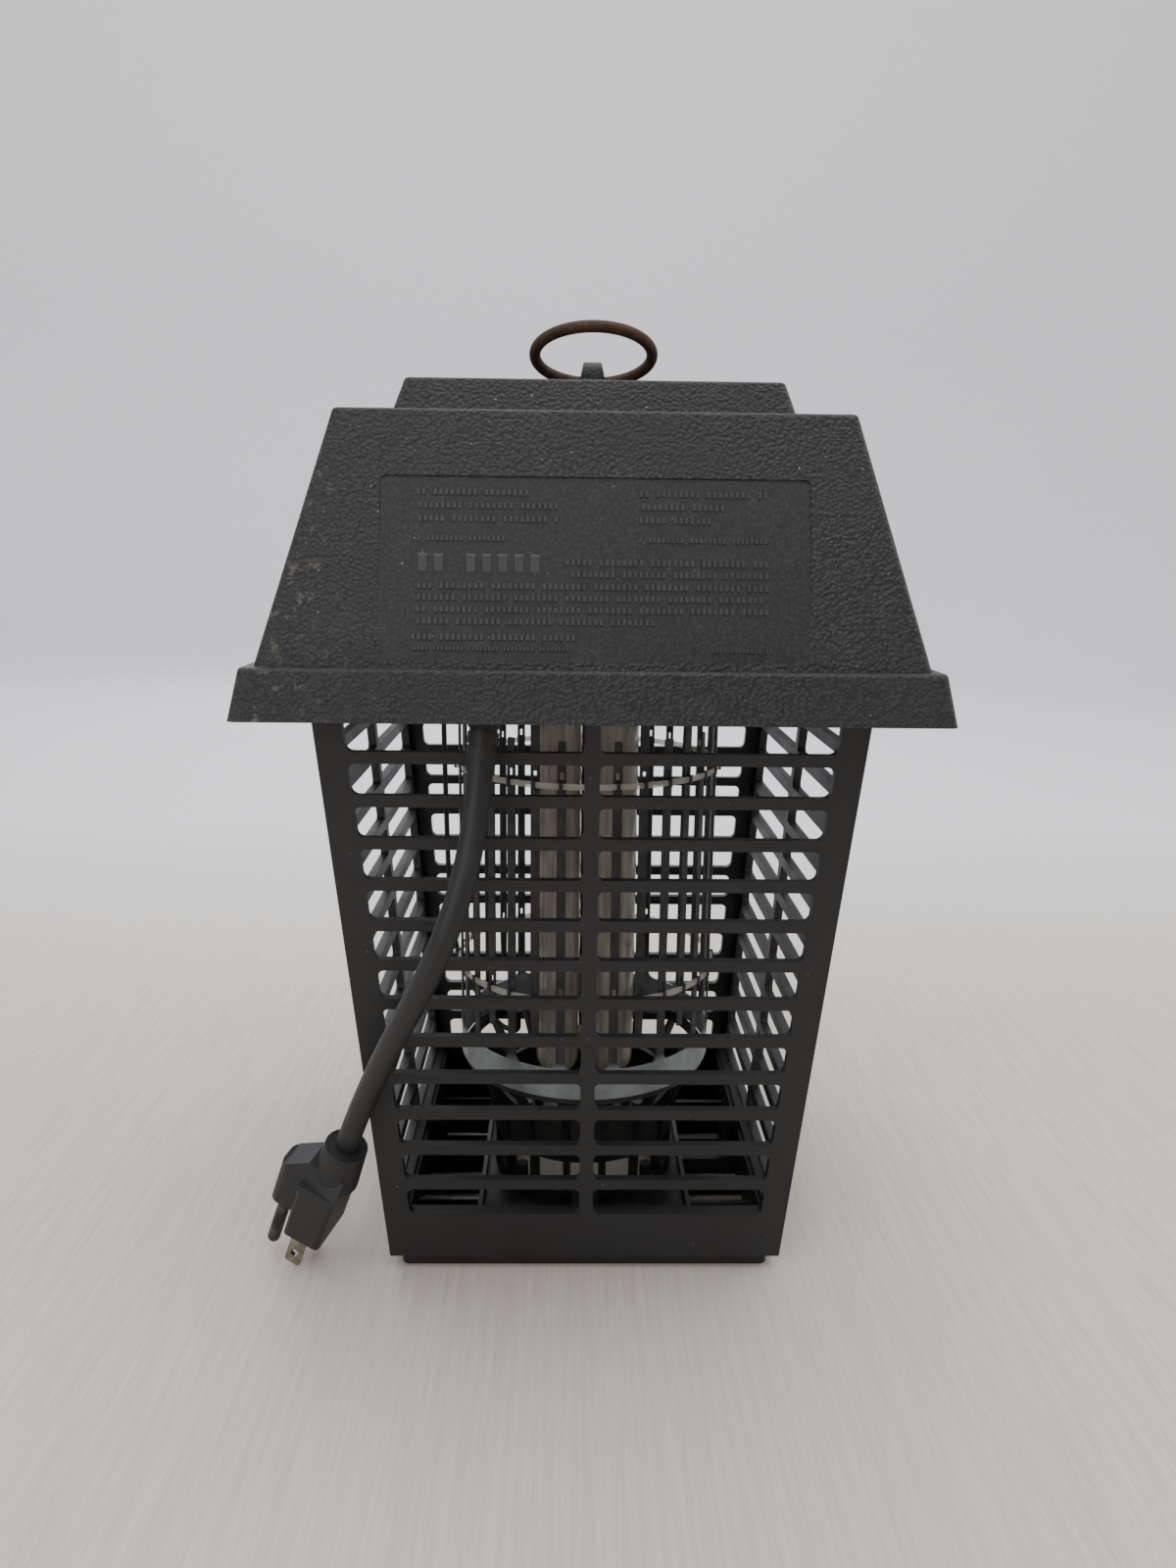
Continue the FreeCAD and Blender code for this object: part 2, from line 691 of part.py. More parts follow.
def make_grid():
    outer = grid_radius - band_inset
    band_top = plate_bottom_z + band_height
    band = disc_ring(outer, outer - sheet, plate_bottom_z, band_top)
    tabs = corner_lugs(grid_tab_half, outer - sheet / 2, plate_bottom_z, lower_plate_top)
    rising = fingers(band_top - sheet, band_top, rising_tip_z, finger_step)
    lower = joined([band] + tabs + rising)
    save("lower_electrode", lower.cut(grid_screw_holes(plate_bottom_z - 1, lower_plate_top + 1)))

    plate_z = upper_plate_z - sheet
    plate = disc_ring(grid_radius - sheet / 4, upper_plate_inner, plate_z, upper_plate_z)
    hanging = fingers(upper_plate_z, plate_z, hanging_tip_z, 0)
    upper = joined([plate] + hanging)
    save("upper_electrode", upper.cut(grid_screw_holes(plate_z - 1, upper_plate_z + 1)))

    for name, z in (("upper_hoop", upper_hoop_z), ("lower_hoop", lower_hoop_z)):
        inner = grid_radius + hoop_clearance
        save(name, disc_ring(inner + hoop_wall, inner, z - hoop_height / 2, z + hoop_height / 2))

    places = four_corners(screw_circle * math.sqrt(0.5))
    for i, (x, y) in enumerate(places):
        body = post(grid_post_diameter, x, y, upper_plate_z, cage_top_z)
        middle = (upper_plate_z + cage_top_z) / 2
        groove = Part.makeTorus(grid_post_diameter / 2 + groove_out, groove_radius, V(x, y, middle), UP)
        body = body.cut([groove, screw_hole(x, y, upper_plate_z, cage_top_z)])
        save("upper_insulator_%d" % (i + 1), body)
    reach = upper_plate_drop + sheet + chassis_wall + 3
    save_group("grid_screws", [screw(x, y, upper_plate_z - sheet, reach, True) for x, y in places])
    low_reach = flange_thickness + sheet - screw_end_gap
    save_group("lower_grid_screws", [screw(x, y, lower_plate_top, low_reach, False) for x, y in places])


def make_support():
    """Flange and lugs under the lower electrode, on sixteen raked legs round a drum."""
    flange_radius = grid_radius - flange_overhang
    flange_inner = flange_radius - flange_width
    flange = disc_ring(flange_radius, flange_inner, flange_bottom_z, plate_bottom_z)
    lugs = corner_lugs(support_lug_half, flange_inner + 0.5, flange_bottom_z, plate_bottom_z)
    drum = disc_ring(drum_radius, drum_radius - drum_wall, drum_bottom_z, drum_rim_z)
    foot = disc_ring(drum_radius - 0.2, hub_inner + 0.2, hub_ring_top, hub_ring_top + foot_ring_height)
    outside, inside = drum_radius - 0.05, hub_inner + 0.4
    in_wall, in_flange = drum_radius - 0.5, flange_bottom_z + 0.5
    profile = [
        (flange_radius - 0.4, in_flange), (drum_radius + leg_bulge, drum_rim_z - leg_knee_drop),
        (outside, drum_bottom_z - 1), (outside, hub_ring_top), (inside, hub_ring_top),
        (inside, drum_bottom_z + 1), (in_wall, drum_bottom_z + 1), (in_wall, drum_rim_z - 0.5),
        (flange_radius - leg_depth, in_flange),
    ]
    outline = [V(-leg_width / 2, -r, z) for r, z in profile]
    leg = Part.Face(Part.makePolygon(outline + outline[:1])).extrude(V(leg_width, 0, 0))
    parts = [flange, drum, foot] + lugs + around(leg, finger_count, finger_step)
    boss_top = hub_ring_top + support_boss_height
    for bx, by in support_screw_places():
        parts.append(post(support_boss_diameter, bx, by, hub_ring_top, boss_top))
    whole = joined(parts)
    whole = whole.cut([screw_hole(bx, by, hub_ring_top, boss_top - 1) for bx, by in support_screw_places()])
    whole = whole.cut(grid_screw_holes(flange_bottom_z, plate_bottom_z))
    save("lower_grid_support", whole)
    seat = base_web_bottom + 1
    reach = hub_ring_top + 7 - seat
    save_group("support_screws", [screw(bx, by, seat, reach, True) for bx, by in support_screw_places()])


# ---------------------------------------------------------------- lamp
def make_lamp():
    r = tube_diameter / 2
    low = lamp_base_bottom - tube_length
    tubes = []
    for side in (-1, 1):
        x = side * tube_spacing / 2
        tubes.append(post(tube_diameter, x, 0, low + r, lamp_base_bottom))
        tubes.append(Part.makeSphere(r, V(x, 0, low + r)))
    bridge_z = low + r + tube_bridge
    start = V(-tube_spacing / 2, 0, bridge_z)
    tubes.append(Part.makeCylinder(tube_bridge / 2, tube_spacing, start, V(1, 0, 0)))
    save("lamp_tubes", joined(tubes))

    body = centred_block(lamp_base_size, 0, 0, lamp_base_bottom)
    body = body.makeFillet(lamp_base_round, edges_where(body, is_steep))
    neck_z = lamp_base_bottom + lamp_base_size[2]
    neck = centred_block(lamp_neck_size, 0, 0, neck_z)
    save("lamp_base", joined([body, neck]))

    pin_z = neck_z + lamp_neck_size[2]
    places = [(x, 0) for x in pin_places]
    pins = [post(pin_diameter, x, y, pin_z, pin_z + pin_length) for x, y in places]
    save_group("lamp_pins", pins)

    socket = centred_block(socket_size, 0, 0, chassis_top)
    socket = socket.makeFillet(socket_round, edges_where(socket, is_steep))
    gap = socket_clearance
    depth = lamp_neck_size[2] - lamp_base_proud + gap
    seat = (lamp_neck_size[0] + 2 * gap, lamp_neck_size[1] + 2 * gap, depth)
    socket = socket.cut(centred_block(seat, 0, 0, chassis_top))
    for x, y in places:
        bore_top = pin_z + pin_length + 0.5
        socket = socket.cut(post(pin_diameter + 2 * pin_clearance, x, y, chassis_top, bore_top))
    save("lamp_socket", socket)


# ---------------------------------------------------------------- electrics under the roof
def coil_window(size, leg):
    """Width and height of each window in an E-I core."""
    return (size[0] - 4 * leg) / 2, size[2] - 2 * leg


def strap_screw_places(at, size, leg):
    reach = size[1] / 2 + coil_window(size, leg)[0] + strap_clearance + strap_foot * 0.6
    return [(at[0], at[1] - reach), (at[0], at[1] + reach)]


def make_coil(prefix, at, size, leg):
    """Laminated E-I core standing on edge, its winding, and the strap that holds it down."""
    x, y = at
    z = chassis_top
    window_width, window_height = coil_window(size, leg)
    core = centred_block(size, x, y, z)
    for side in (-1, 1):
        wx = x + side * (leg + window_width / 2)
        core = core.cut(centred_block((window_width, size[1], window_height), wx, y, z + leg))
    save(prefix + "_core", core)

    spread = 2 * (window_width - coil_gap)
    bulk = (2 * leg + spread, size[1] + spread, window_height - coil_gap)
    winding = centred_block(bulk, x, y, z + leg)
    winding = winding.makeFillet(window_width * 0.4, edges_where(winding, is_steep))
    hollow = (2 * leg + 2 * coil_gap, size[1] + 2 * coil_gap, window_height)
    save(prefix + "_winding", winding.cut(centred_block(hollow, x, y, z + leg)))

    half = leg - 1.0
    top = z + size[2]
    reach = size[1] / 2 + window_width + strap_clearance
    outside = reach + strap_wall
    pieces = [block(x - half, x + half, y - outside, y + outside, top, top + strap_wall)]
    for side in (-1, 1):
        inner, outer = y + side * reach, y + side * (reach + strap_wall)
        toe = y + side * (reach + strap_foot)
        pieces.append(block(x - half, x + half, min(inner, outer), max(inner, outer), z, top + strap_wall))
        pieces.append(block(x - half, x + half, min(inner, toe), max(inner, toe), z, z + strap_wall))
    strap = joined(pieces)
    places = strap_screw_places(at, size, leg)
    strap = strap.cut([screw_hole(px, py, z, z + strap_wall) for px, py in places])
    save(prefix + "_strap", strap)
    reach_down = strap_wall + chassis_wall - screw_end_gap
    screws = [screw(px, py, z + strap_wall, reach_down, False) for px, py in places]
    save_group(prefix + "_screws", screws)


def make_starter():
    x, y = starter_at
    z = chassis_top
    seat = z + starter_socket_height
    sink = starter_sink
    socket = post(starter_socket_diameter, x, y, z, seat)
    socket = socket.cut(post(starter_diameter + 2 * starter_clearance, x, y, seat - sink, seat))
    save("starter_socket", socket)
    can = post(starter_diameter, x, y, seat - sink, seat - sink + starter_height)
    can = can.makeFillet(starter_round, edges_where(can, is_level_at(seat - sink + starter_height)))
    save("starter_can", can)


def make_wire_nuts():
    for i, (x, y) in enumerate(wire_nut_places):
        foot = V(x, y, chassis_top)
        cone = Part.makeCone(wire_nut_diameter / 2, wire_nut_diameter / 3, wire_nut_height, foot, UP)
        skirt_top = chassis_top + wire_nut_skirt_height
        skirt = post(wire_nut_diameter + 2 * wire_nut_skirt, x, y, chassis_top, skirt_top)
        save("wire_nut_%d" % (i + 1), joined([cone, skirt]))


def lead_landing(at, size, leg, way, side):
    """A point on a winding's end, clear of the strap; way is +1 to the rear and side is +1 to the right."""
    width = coil_window(size, leg)[0]
    x = at[0] + side * (leg + width * landing_in)
    y = at[1] + way * (size[1] / 2 + width - coil_gap)
    return V(x, y, chassis_top + size[2] / 2)


def make_leads():
    """Insulated leads: mains, lamp and grid wiring under the roof, and one down a rear corner."""
    z = chassis_top
    gx, gy = gland_centre
    gland_top = z + gland_flange_height
    spread = 3.2
    rise = V(0, 0, lead_rise)
    line = V(gx + spread, gy, gland_top)
    neutral = V(gx, gy + spread, gland_top)
    ground = V(gx - spread, gy, gland_top)
    nut_top = z + wire_nut_height
    nuts = [V(x, y, nut_top) for x, y in wire_nut_places]
    aside = V(lead_pitch, 0, 0)
    forward = V(0, -lead_rise, 0)
    backward = V(0, lead_rise, 0)
    ballast_face = lead_landing(ballast_at, ballast_size, ballast_leg, -1, -1)
    supply_face = lead_landing(transformer_at, transformer_size, transformer_leg, -1, 1)
    high_face = lead_landing(transformer_at, transformer_size, transformer_leg, 1, 1)
    low_face = lead_landing(transformer_at, transformer_size, transformer_leg, 1, -1)
    ux, uy = -screw_circle * math.sqrt(0.5), screw_circle * math.sqrt(0.5)
    upper_end = V(ux, uy, z + chassis_boss_height + 0.2)
    ground_end = V(ground_screw_at[0], ground_screw_at[1], z + strap_wall + screw_head_height)
    socket_side = V(12, socket_size[1] / 2, z + 14)
    starter_side = V(starter_at[0], starter_at[1] - starter_socket_diameter / 2, z + 5)
    corner = down_lead_at
    low = lower_plate_top
    landing = lug_landing_radius * math.sqrt(0.5)
    leads = {
        "line_lead": [
            line, line + rise, V(gx + 20, gy + 12, z + 34),
            nuts[0] + aside + rise * 1.8 + V(-9, -9, 0), nuts[0] + aside + rise, nuts[0] + aside,
        ],
        "neutral_lead": [
            neutral, neutral + rise, V(gx + 12, gy + 16, z + 38), V(gx + 42, gy + 20, z + 52),
            nuts[1] - aside + rise * 1.9 + V(-9, -9, 0), nuts[1] - aside + rise, nuts[1] - aside,
        ],
        "ground_lead": [
            ground, ground + rise, V(gx - 12, gy + 14, z + 22), ground_end + rise * 1.4 + V(4, -3, 0),
            ground_end + rise, ground_end,
        ],
        "ballast_lead": [
            nuts[1] + aside, nuts[1] + aside + rise, nuts[1] + aside + rise + V(3, 12, 6),
            ballast_face + forward * 1.2, ballast_face,
        ],
        "transformer_lead": [
            nuts[0] - aside, nuts[0] - aside + rise, nuts[0] - aside + rise + V(-18, 9, 6),
            supply_face + forward * 1.2 + V(8, -6, 4), supply_face + forward, supply_face,
        ],
        "lamp_lead": [
            socket_side, socket_side + backward, (socket_side + starter_side) * 0.5 + V(1, 0, 1),
            starter_side + forward, starter_side,
        ],
        "upper_grid_lead": [
            high_face, high_face + backward, V(ux, uy + 4, upper_end.z + 17), upper_end + rise, upper_end,
        ],
        "lower_grid_lead": [
            low_face, low_face + backward, V(-corner, corner - 4, z + 14), V(-corner - 0.5, corner, z - 14),
            V(-corner, corner + 0.5, z - 72), V(-corner + 1.5, corner - 1.5, low + 34),
            V(-corner + 7, corner - 7, low + 8), V(-landing - 9.3, landing + 9.3, flange_bottom_z - 9),
            V(-landing, landing, flange_bottom_z - 7.5), V(-landing, landing, flange_bottom_z),
        ],
    }
    for name, points in leads.items():
        save(name, round_tube(points, lead_diameter))


def make_ground_screw():
    x, y = ground_screw_at
    lug = post(9.0, x, y, chassis_top, chassis_top + strap_wall)
    save("ground_terminal", lug.cut(screw_hole(x, y, chassis_top, chassis_top + strap_wall)))
    reach = strap_wall + chassis_wall - screw_end_gap
    save("ground_screw", screw(x, y, chassis_top + strap_wall, reach, False))


# ---------------------------------------------------------------- chassis
def make_chassis():
    inner_half = eave_half - roof_wall - flange_inset * (chassis_top - eave_z) / flange_height
    half = inner_half - chassis_clearance
    plate = frustum(half, half, cage_top_z, chassis_top)
    plate = plate.makeFillet(roof_corner, edges_where(plate, is_steep))
    rib_z = cage_top_z - chassis_rib_height
    rib_half = cage_half(rib_z) - panel_wall - seat_clearance
    rib = frustum(rib_half, rib_half, rib_z, cage_top_z)
    rib = rib.cut(frustum(rib_half - chassis_rib, rib_half - chassis_rib, rib_z, cage_top_z))
    gap = panel_pad_width / 2 + 1.5
    gaps = [block(-gap, gap, -half, half, rib_z, cage_top_z)]
    gaps.append(block(-half, half, -gap, gap, rib_z, cage_top_z))
    rib = rib.cut(gaps)
    grid_places = four_corners(screw_circle * math.sqrt(0.5))
    boss_top = chassis_top + chassis_boss_height
    bosses = [post(chassis_boss_diameter, x, y, cage_top_z, boss_top) for x, y in grid_places]
    whole = joined([plate] + rib.Solids + bosses)

    through = four_corners(roof_boss_at) + four_sides(cage_screw_at) + [ground_screw_at]
    through += strap_screw_places(transformer_at, transformer_size, transformer_leg)
    through += strap_screw_places(ballast_at, ballast_size, ballast_leg)
    cuts = [screw_hole(x, y, cage_top_z, chassis_top) for x, y in through]
    cuts += [screw_hole(x, y, cage_top_z, boss_top) for x, y in grid_places]
    opening = (lamp_base_size[0] + 1.2, lamp_base_size[1] + 1.2, chassis_wall)
    cuts.append(centred_block(opening, 0, 0, cage_top_z))
    gx, gy = gland_centre
    cuts.append(post(gland_neck + 0.2, gx, gy, cage_top_z, chassis_top))
    cuts.append(post(lead_diameter + 2.6, -down_lead_at, down_lead_at - 1, cage_top_z, chassis_top))
    slot = (vent_slot_length, vent_slot_width, chassis_wall)
    for i in range(vent_count):
        along = (i - (vent_count - 1) / 2) * vent_slot_pitch
        cuts += [centred_block(slot, side * vent_at, along, cage_top_z) for side in (-1, 1)]
    save("chassis_plate", whole.cut(cuts))


# ---------------------------------------------------------------- mains lead and plug
def relief_axis():
    lean = V(relief_lean)
    return lean.normalize()


def relief_end():
    gx, gy = gland_centre
    return V(gx, gy, cage_top_z) + relief_axis() * relief_length


def make_strain_relief():
    """Gland flange on the chassis, a neck through it, and a ringed taper along the cord."""
    gx, gy = gland_centre
    root = V(gx, gy, cage_top_z)
    flange = post(gland_flange, gx, gy, chassis_top, chassis_top + gland_flange_height)
    neck = post(gland_neck, gx, gy, cage_top_z - 1.0, chassis_top)
    start = root - relief_axis()
    taper = Part.makeCone(relief_root / 2, relief_tip / 2, relief_length + 1.0, start, relief_axis())
    grooves = []
    for i in range(relief_grooves):
        at = root + relief_axis() * (relief_length * (i + 1.2) / (relief_grooves + 1))
        outer = Part.makeCylinder(relief_root, 1.2, at, relief_axis())
        grooves.append(outer.cut(Part.makeCylinder(relief_tip / 2 - 0.1, 1.2, at, relief_axis())))
    save("cord_strain_relief", joined([flange, neck, taper.cut(grooves)]))


def plug_frame():
    axis = V(plug_axis).normalize()
    across = V(plug_across)
    across = (across - axis * across.dot(axis)).normalize()
    return axis, across, axis.cross(across)


def plug_point(w, n, d):
    axis, across, depth = plug_frame()
    return plug_face + across * w + depth * n + axis * d


def plug_solid(shape):
    """A shape drawn with +X across a blade, +Y through the blades and +Z out of the face."""
    axis, across, depth = plug_frame()
    return placed(shape, plug_face, across, depth, axis)


def make_plug():
    x0, x1 = plug_block_x
    half = plug_block_half
    body = block(x0, x1, -half, half, -plug_block_length, 0)
    body = body.makeFillet(2.0, edges_where(body, is_steep))
    lobe_x = -ground_pin_offset - ground_pin_diameter
    lobe_half = ground_pin_diameter / 2 + 4
    lobe_foot = -plug_block_length - 2
    corners = [V(lobe_x, -lobe_half, lobe_foot), V(x0 + 2, -lobe_half, lobe_foot)]
    corners += [V(x0 + 2, lobe_half, lobe_foot), V(lobe_x, lobe_half, lobe_foot)]
    lobe = prism(corners, [4, 0.5, 0.5, 4], V(0, 0, -lobe_foot - plug_lobe_setback))
    shoulder_end = lobe_foot - plug_shoulder
    far = lobe_x + 1.5
    wide = [V(far, -6, lobe_foot), V(x1, -half, lobe_foot)]
    wide += [V(x1, half, lobe_foot), V(far, 6, lobe_foot)]
    narrow = [V(x0, -6, shoulder_end), V(x1, -7, shoulder_end)]
    narrow += [V(x1, 7, shoulder_end), V(x0, 6, shoulder_end)]
    loops = [Part.makePolygon(points + points[:1]) for points in (wide, narrow)]
    shoulder = Part.makeLoft(loops, True, True)
    neck = block(x0, x1, -half, half, lobe_foot, -plug_block_length + 0.5)
    collar_foot = V(plug_entry_offset, 0, lobe_foot)
    collar_height = plug_length + lobe_foot
    collar = Part.makeCone(plug_collar / 2 + 0.8, plug_collar / 2, collar_height, collar_foot, V(0, 0, -1))
    save("plug_body", plug_solid(joined([body, lobe, neck, shoulder, collar])))

    blades = []
    a, t = blade_width / 2, blade_thickness / 2
    for side in (-1, 1):
        y = side * blade_spacing / 2 - t
        outline = [V(-a, y, 0), V(a, y, 0), V(a, y, blade_length), V(-a, y, blade_length)]
        blade = prism(outline, [0.05, 0.05, 1.2, 1.2], V(0, blade_thickness, 0))
        hole = Part.makeCylinder(blade_hole / 2, 40, V(0, -20, blade_length * 0.68), V(0, 1, 0))
        blades.append(plug_solid(blade.cut(hole)))
    save_group("plug_blades", blades)

    r = ground_pin_diameter / 2
    root = V(-ground_pin_offset, 0, -plug_lobe_setback)
    pin = Part.makeCylinder(r, ground_pin_length + plug_lobe_setback - r, root)
    dome = Part.makeSphere(r, V(-ground_pin_offset, 0, ground_pin_length - r))
    save("plug_ground_pin", plug_solid(joined([pin, dome])))


def make_cord():
    end = plug_point(plug_entry_offset, 0, -plug_length)
    first = relief_end() + relief_axis() * cord_first_run
    last = plug_point(plug_entry_offset, 0, -plug_length - cord_last_run)
    points = [relief_end(), first] + cord_bends + [last, end]
    runs = [(b - a).Length for a, b in zip(points, points[1:])]
    print("power cord runs", [round(run, 1) for run in runs])
    save("power_cord", round_tube(points, cord_diameter, "power cord"))


make_roof()
make_ring()
make_cage()
make_base()
make_grid()
make_support()
make_lamp()
make_coil("transformer", transformer_at, transformer_size, transformer_leg)
make_coil("ballast", ballast_at, ballast_size, ballast_leg)
make_starter()
make_wire_nuts()
make_ground_screw()
make_leads()
make_chassis()
make_strain_relief()
make_cord()
make_plug()
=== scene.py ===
"""Looks of a square lantern insect killer: finishes, mains lead, rating plate marks and stage."""
import math

import bpy
import numpy as np
from mathutils import Matrix, Vector


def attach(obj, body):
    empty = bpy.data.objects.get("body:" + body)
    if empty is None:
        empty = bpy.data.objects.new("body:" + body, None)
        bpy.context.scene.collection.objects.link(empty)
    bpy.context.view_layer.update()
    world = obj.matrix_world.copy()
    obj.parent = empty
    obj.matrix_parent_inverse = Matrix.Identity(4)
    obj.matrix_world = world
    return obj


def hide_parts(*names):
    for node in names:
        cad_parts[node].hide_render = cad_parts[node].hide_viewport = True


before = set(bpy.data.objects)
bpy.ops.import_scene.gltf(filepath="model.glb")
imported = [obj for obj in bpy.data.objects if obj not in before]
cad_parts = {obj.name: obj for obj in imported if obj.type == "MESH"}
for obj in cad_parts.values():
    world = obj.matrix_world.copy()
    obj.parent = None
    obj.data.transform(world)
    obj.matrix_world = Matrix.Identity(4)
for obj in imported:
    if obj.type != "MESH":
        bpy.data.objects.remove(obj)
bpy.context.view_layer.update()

HOUSING = "housing"
MM = 0.001

bl_info = {
    "name": "Lantern insect killer",
    "version": (1, 0, 0),
    "blender": (4, 5, 0),
    "location": "3D View > Sidebar > Lantern",
    "description": "Finishes and soft parts of a lantern insect killer",
    "category": "Object",
}

# Mains lead, in metres: the same route as the solid model's
CORD_ROUTE = [
    (-0.03580, -0.10200, 0.19897),
    (-0.03716, -0.10540, 0.18237),
    (-0.04130, -0.11500, 0.16200),
    (-0.04950, -0.11800, 0.14050),
    (-0.05950, -0.11100, 0.12000),
    (-0.06900, -0.10000, 0.10050),
    (-0.08152, -0.08451, 0.07140),
    (-0.08703, -0.08026, 0.05590),
]

# Height of the lower electrode's bare zinc band, in metres
BAND_TOP = 0.0712

# Stage, in metres: a flat round floor that curves up into a wall
FLOOR_FLAT = 2.0
FLOOR_BEND = 0.8
FLOOR_TOP = 2.6
FLOOR_CENTRE = 0.0005               # radius of the first ring of points, which closes the middle
FLOOR_TURNS = 96
BEND_STEPS = 25

# Camera, in metres, radians and millimetres
CAMERA_PLACE = (-0.008056, -0.44175, 0.27039)
CAMERA_YAW = -0.0189
CAMERA_PITCH = 0.2169               # downwards
CAMERA_ROLL = -0.0122
CAMERA_LENS = 25.21

# Soft lights: name, place and target in metres, width in metres, share of the set power
MIDDLE = (0, 0, 0.15)
WALL = (0, 2.8, 1.3)
LIGHTS = (
    ("overhead", (0.1, -0.1, 1.5), MIDDLE, 1.6, 1.0),
    ("front_fill", (-0.9, -1.4, 0.9), MIDDLE, 1.2, 0.5),
    ("side_fill", (1.5, 0.3, 0.9), MIDDLE, 1.2, 0.35),
    ("rear_fill", (-0.4, 1.5, 1.1), MIDDLE, 1.4, 0.5),
    ("backdrop_wash", (0, 0.9, 2.4), WALL, 1.6, 1.3),
)

# Rating plate in the roof's front slope, in millimetres
PLATE_FOOT = (0.0, -105.7, 232.0)
PLATE_SLOPE = (23.2, 78.5)          # run and rise of the slope
PLATE_SINK = 0.6
PLATE_START = 1.6                   # from the slope's foot to the plate's lower edge
PLATE_HALF_WIDTH = 67.0
PLATE_LOW = 233.6                   # height at which the grain stops below the plate
PLATE_HIGH = 290.2                  # and above it
PLATE_FRONT = -78.0                 # the grain goes on behind this
PLATE_FADE = 0.8                    # the grain fades out over this distance
MARK_RAISE = 0.32


# ---------------------------------------------------------------- settings
class LanternFinish(bpy.types.PropertyGroup):
    roof_colour: bpy.props.StringProperty(
        name="Roof colour", description="sRGB hex colour of the grained roof", default="15161a")
    cage_colour: bpy.props.StringProperty(
        name="Cage colour", description="sRGB hex colour of the slatted panels", default="131418")
    rust_colour: bpy.props.StringProperty(
        name="Rust colour", description="sRGB hex colour of the ring's rust", default="5b3c29")
    grain: bpy.props.FloatProperty(
        name="Grain size", description="Distance between the roof's leather pebbles",
        default=1.15 * MM, unit="LENGTH")


class LanternLead(bpy.types.PropertyGroup):
    diameter: bpy.props.FloatProperty(
        name="Lead diameter", description="Outer diameter of the mains lead",
        default=8.4 * MM, unit="LENGTH")
    jacket_colour: bpy.props.StringProperty(
        name="Jacket colour", description="sRGB hex colour of the lead's jacket", default="141519")


class LanternStage(bpy.types.PropertyGroup):
    floor_colour: bpy.props.StringProperty(
        name="Floor colour", description="sRGB hex colour of the floor near the object", default="bdb6ab")
    key_power: bpy.props.FloatProperty(
        name="Overhead light", description="Power of the soft overhead light", default=17.0, unit="POWER")
    sky_strength: bpy.props.FloatProperty(
        name="Surround", description="Strength of the even surround", default=0.95, subtype="FACTOR")


# ---------------------------------------------------------------- node and mesh helpers
def linear(hex_text):
    """Linear colour with alpha 1 from an sRGB hex string."""
    s = np.array([int(hex_text[i:i + 2], 16) for i in (0, 2, 4)]) / 255.0
    low = s / 12.92
    high = ((s + 0.055) / 1.055) ** 2.4
    rgb = np.where(s <= 0.04045, low, high)
    return (*[float(v) for v in rgb], 1.0)


def put(tree, kind, inputs=None, **settings):
    """Add one node with its settings; each input is a value to set or another node's output to link."""
    node = tree.nodes.new(kind)
    for name, value in settings.items():
        setattr(node, name, value)
    for name, value in (inputs or {}).items():
        if isinstance(value, bpy.types.NodeSocket):
            tree.links.new(value, node.inputs[name])
        else:
            node.inputs[name].default_value = value
    return node


def blank(name, **shader_values):
    """A material with a Principled surface; returns it with its tree, shader and object coordinates."""
    material = bpy.data.materials.new(name)
    material.use_nodes = True
    tree = material.node_tree
    tree.nodes.clear()
    shader = put(tree, "ShaderNodeBsdfPrincipled", inputs=shader_values)
    put(tree, "ShaderNodeOutputMaterial", inputs={"Surface": shader.outputs["BSDF"]})
    place = put(tree, "ShaderNodeTexCoord").outputs["Object"]
    return material, tree, shader, place


def tinted(tree, factor, first, second):
    """Colour output that runs from first to second as factor goes from 0 to 1."""
    mix = put(tree, "ShaderNodeMix", inputs={6: first, 7: second, 0: factor}, data_type="RGBA")
    return mix.outputs[2]


def ramped(tree, value, low, high, out_low=0.0, out_high=1.0):
    """Value output mapped from low..high to out_low..out_high, held at its ends."""
    node = put(tree, "ShaderNodeMapRange", inputs={"Value": value,
               "From Min": low, "From Max": high, "To Min": out_low, "To Max": out_high})
    return node.outputs["Result"]


def mottle(tree, place, size, detail=4.0, rough=0.6):
    """Soft random patches, about size metres across."""
    node = put(tree, "ShaderNodeTexNoise", inputs={"Vector": place,
               "Scale": 1.0 / size, "Detail": detail, "Roughness": rough})
    return node.outputs["Fac"]


def relief(tree, shader, height, depth, strength=1.0):
    """Bump of the given depth in metres."""
    bump = put(tree, "ShaderNodeBump", inputs={"Height": height,
               "Strength": strength, "Distance": depth})
    tree.links.new(bump.outputs["Normal"], shader.inputs["Normal"])


def grid_faces(rows, columns, wrap_columns=False):
    """Quads of a rows by columns grid of points, as one array."""
    r = np.arange(rows - 1)[:, None]
    last = columns if wrap_columns else columns - 1
    c = np.arange(last)[None, :]
    nxt = (c + 1) % columns
    quads = [r * columns + c, r * columns + nxt, (r + 1) * columns + nxt, (r + 1) * columns + c]
    return np.stack([np.broadcast_to(q, (rows - 1, last)) for q in quads], -1).reshape(-1, 4)


def piece(name, points, faces, material, body=HOUSING, smooth=True):
    """A mesh object at the origin with its place in its points, riding on a body."""
    mesh = bpy.data.meshes.new(name)
    mesh.from_pydata(points.reshape(-1, 3).tolist(), [], faces.tolist())
    mesh.polygons.foreach_set("use_smooth", np.full(len(mesh.polygons), smooth))
    mesh.materials.append(material)
    mesh.update()
    thing = bpy.data.objects.new(name, mesh)
    bpy.context.scene.collection.objects.link(thing)
    if body:
        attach(thing, body)
    return thing


def coat(names, material):
    """Give CAD nodes a material; their shapes stay as they are."""
    for name in names:
        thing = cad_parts[name]
        for holder in thing.material_slots:
            holder.material = material


def nodes_like(*starts):
    return [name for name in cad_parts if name.startswith(starts)]


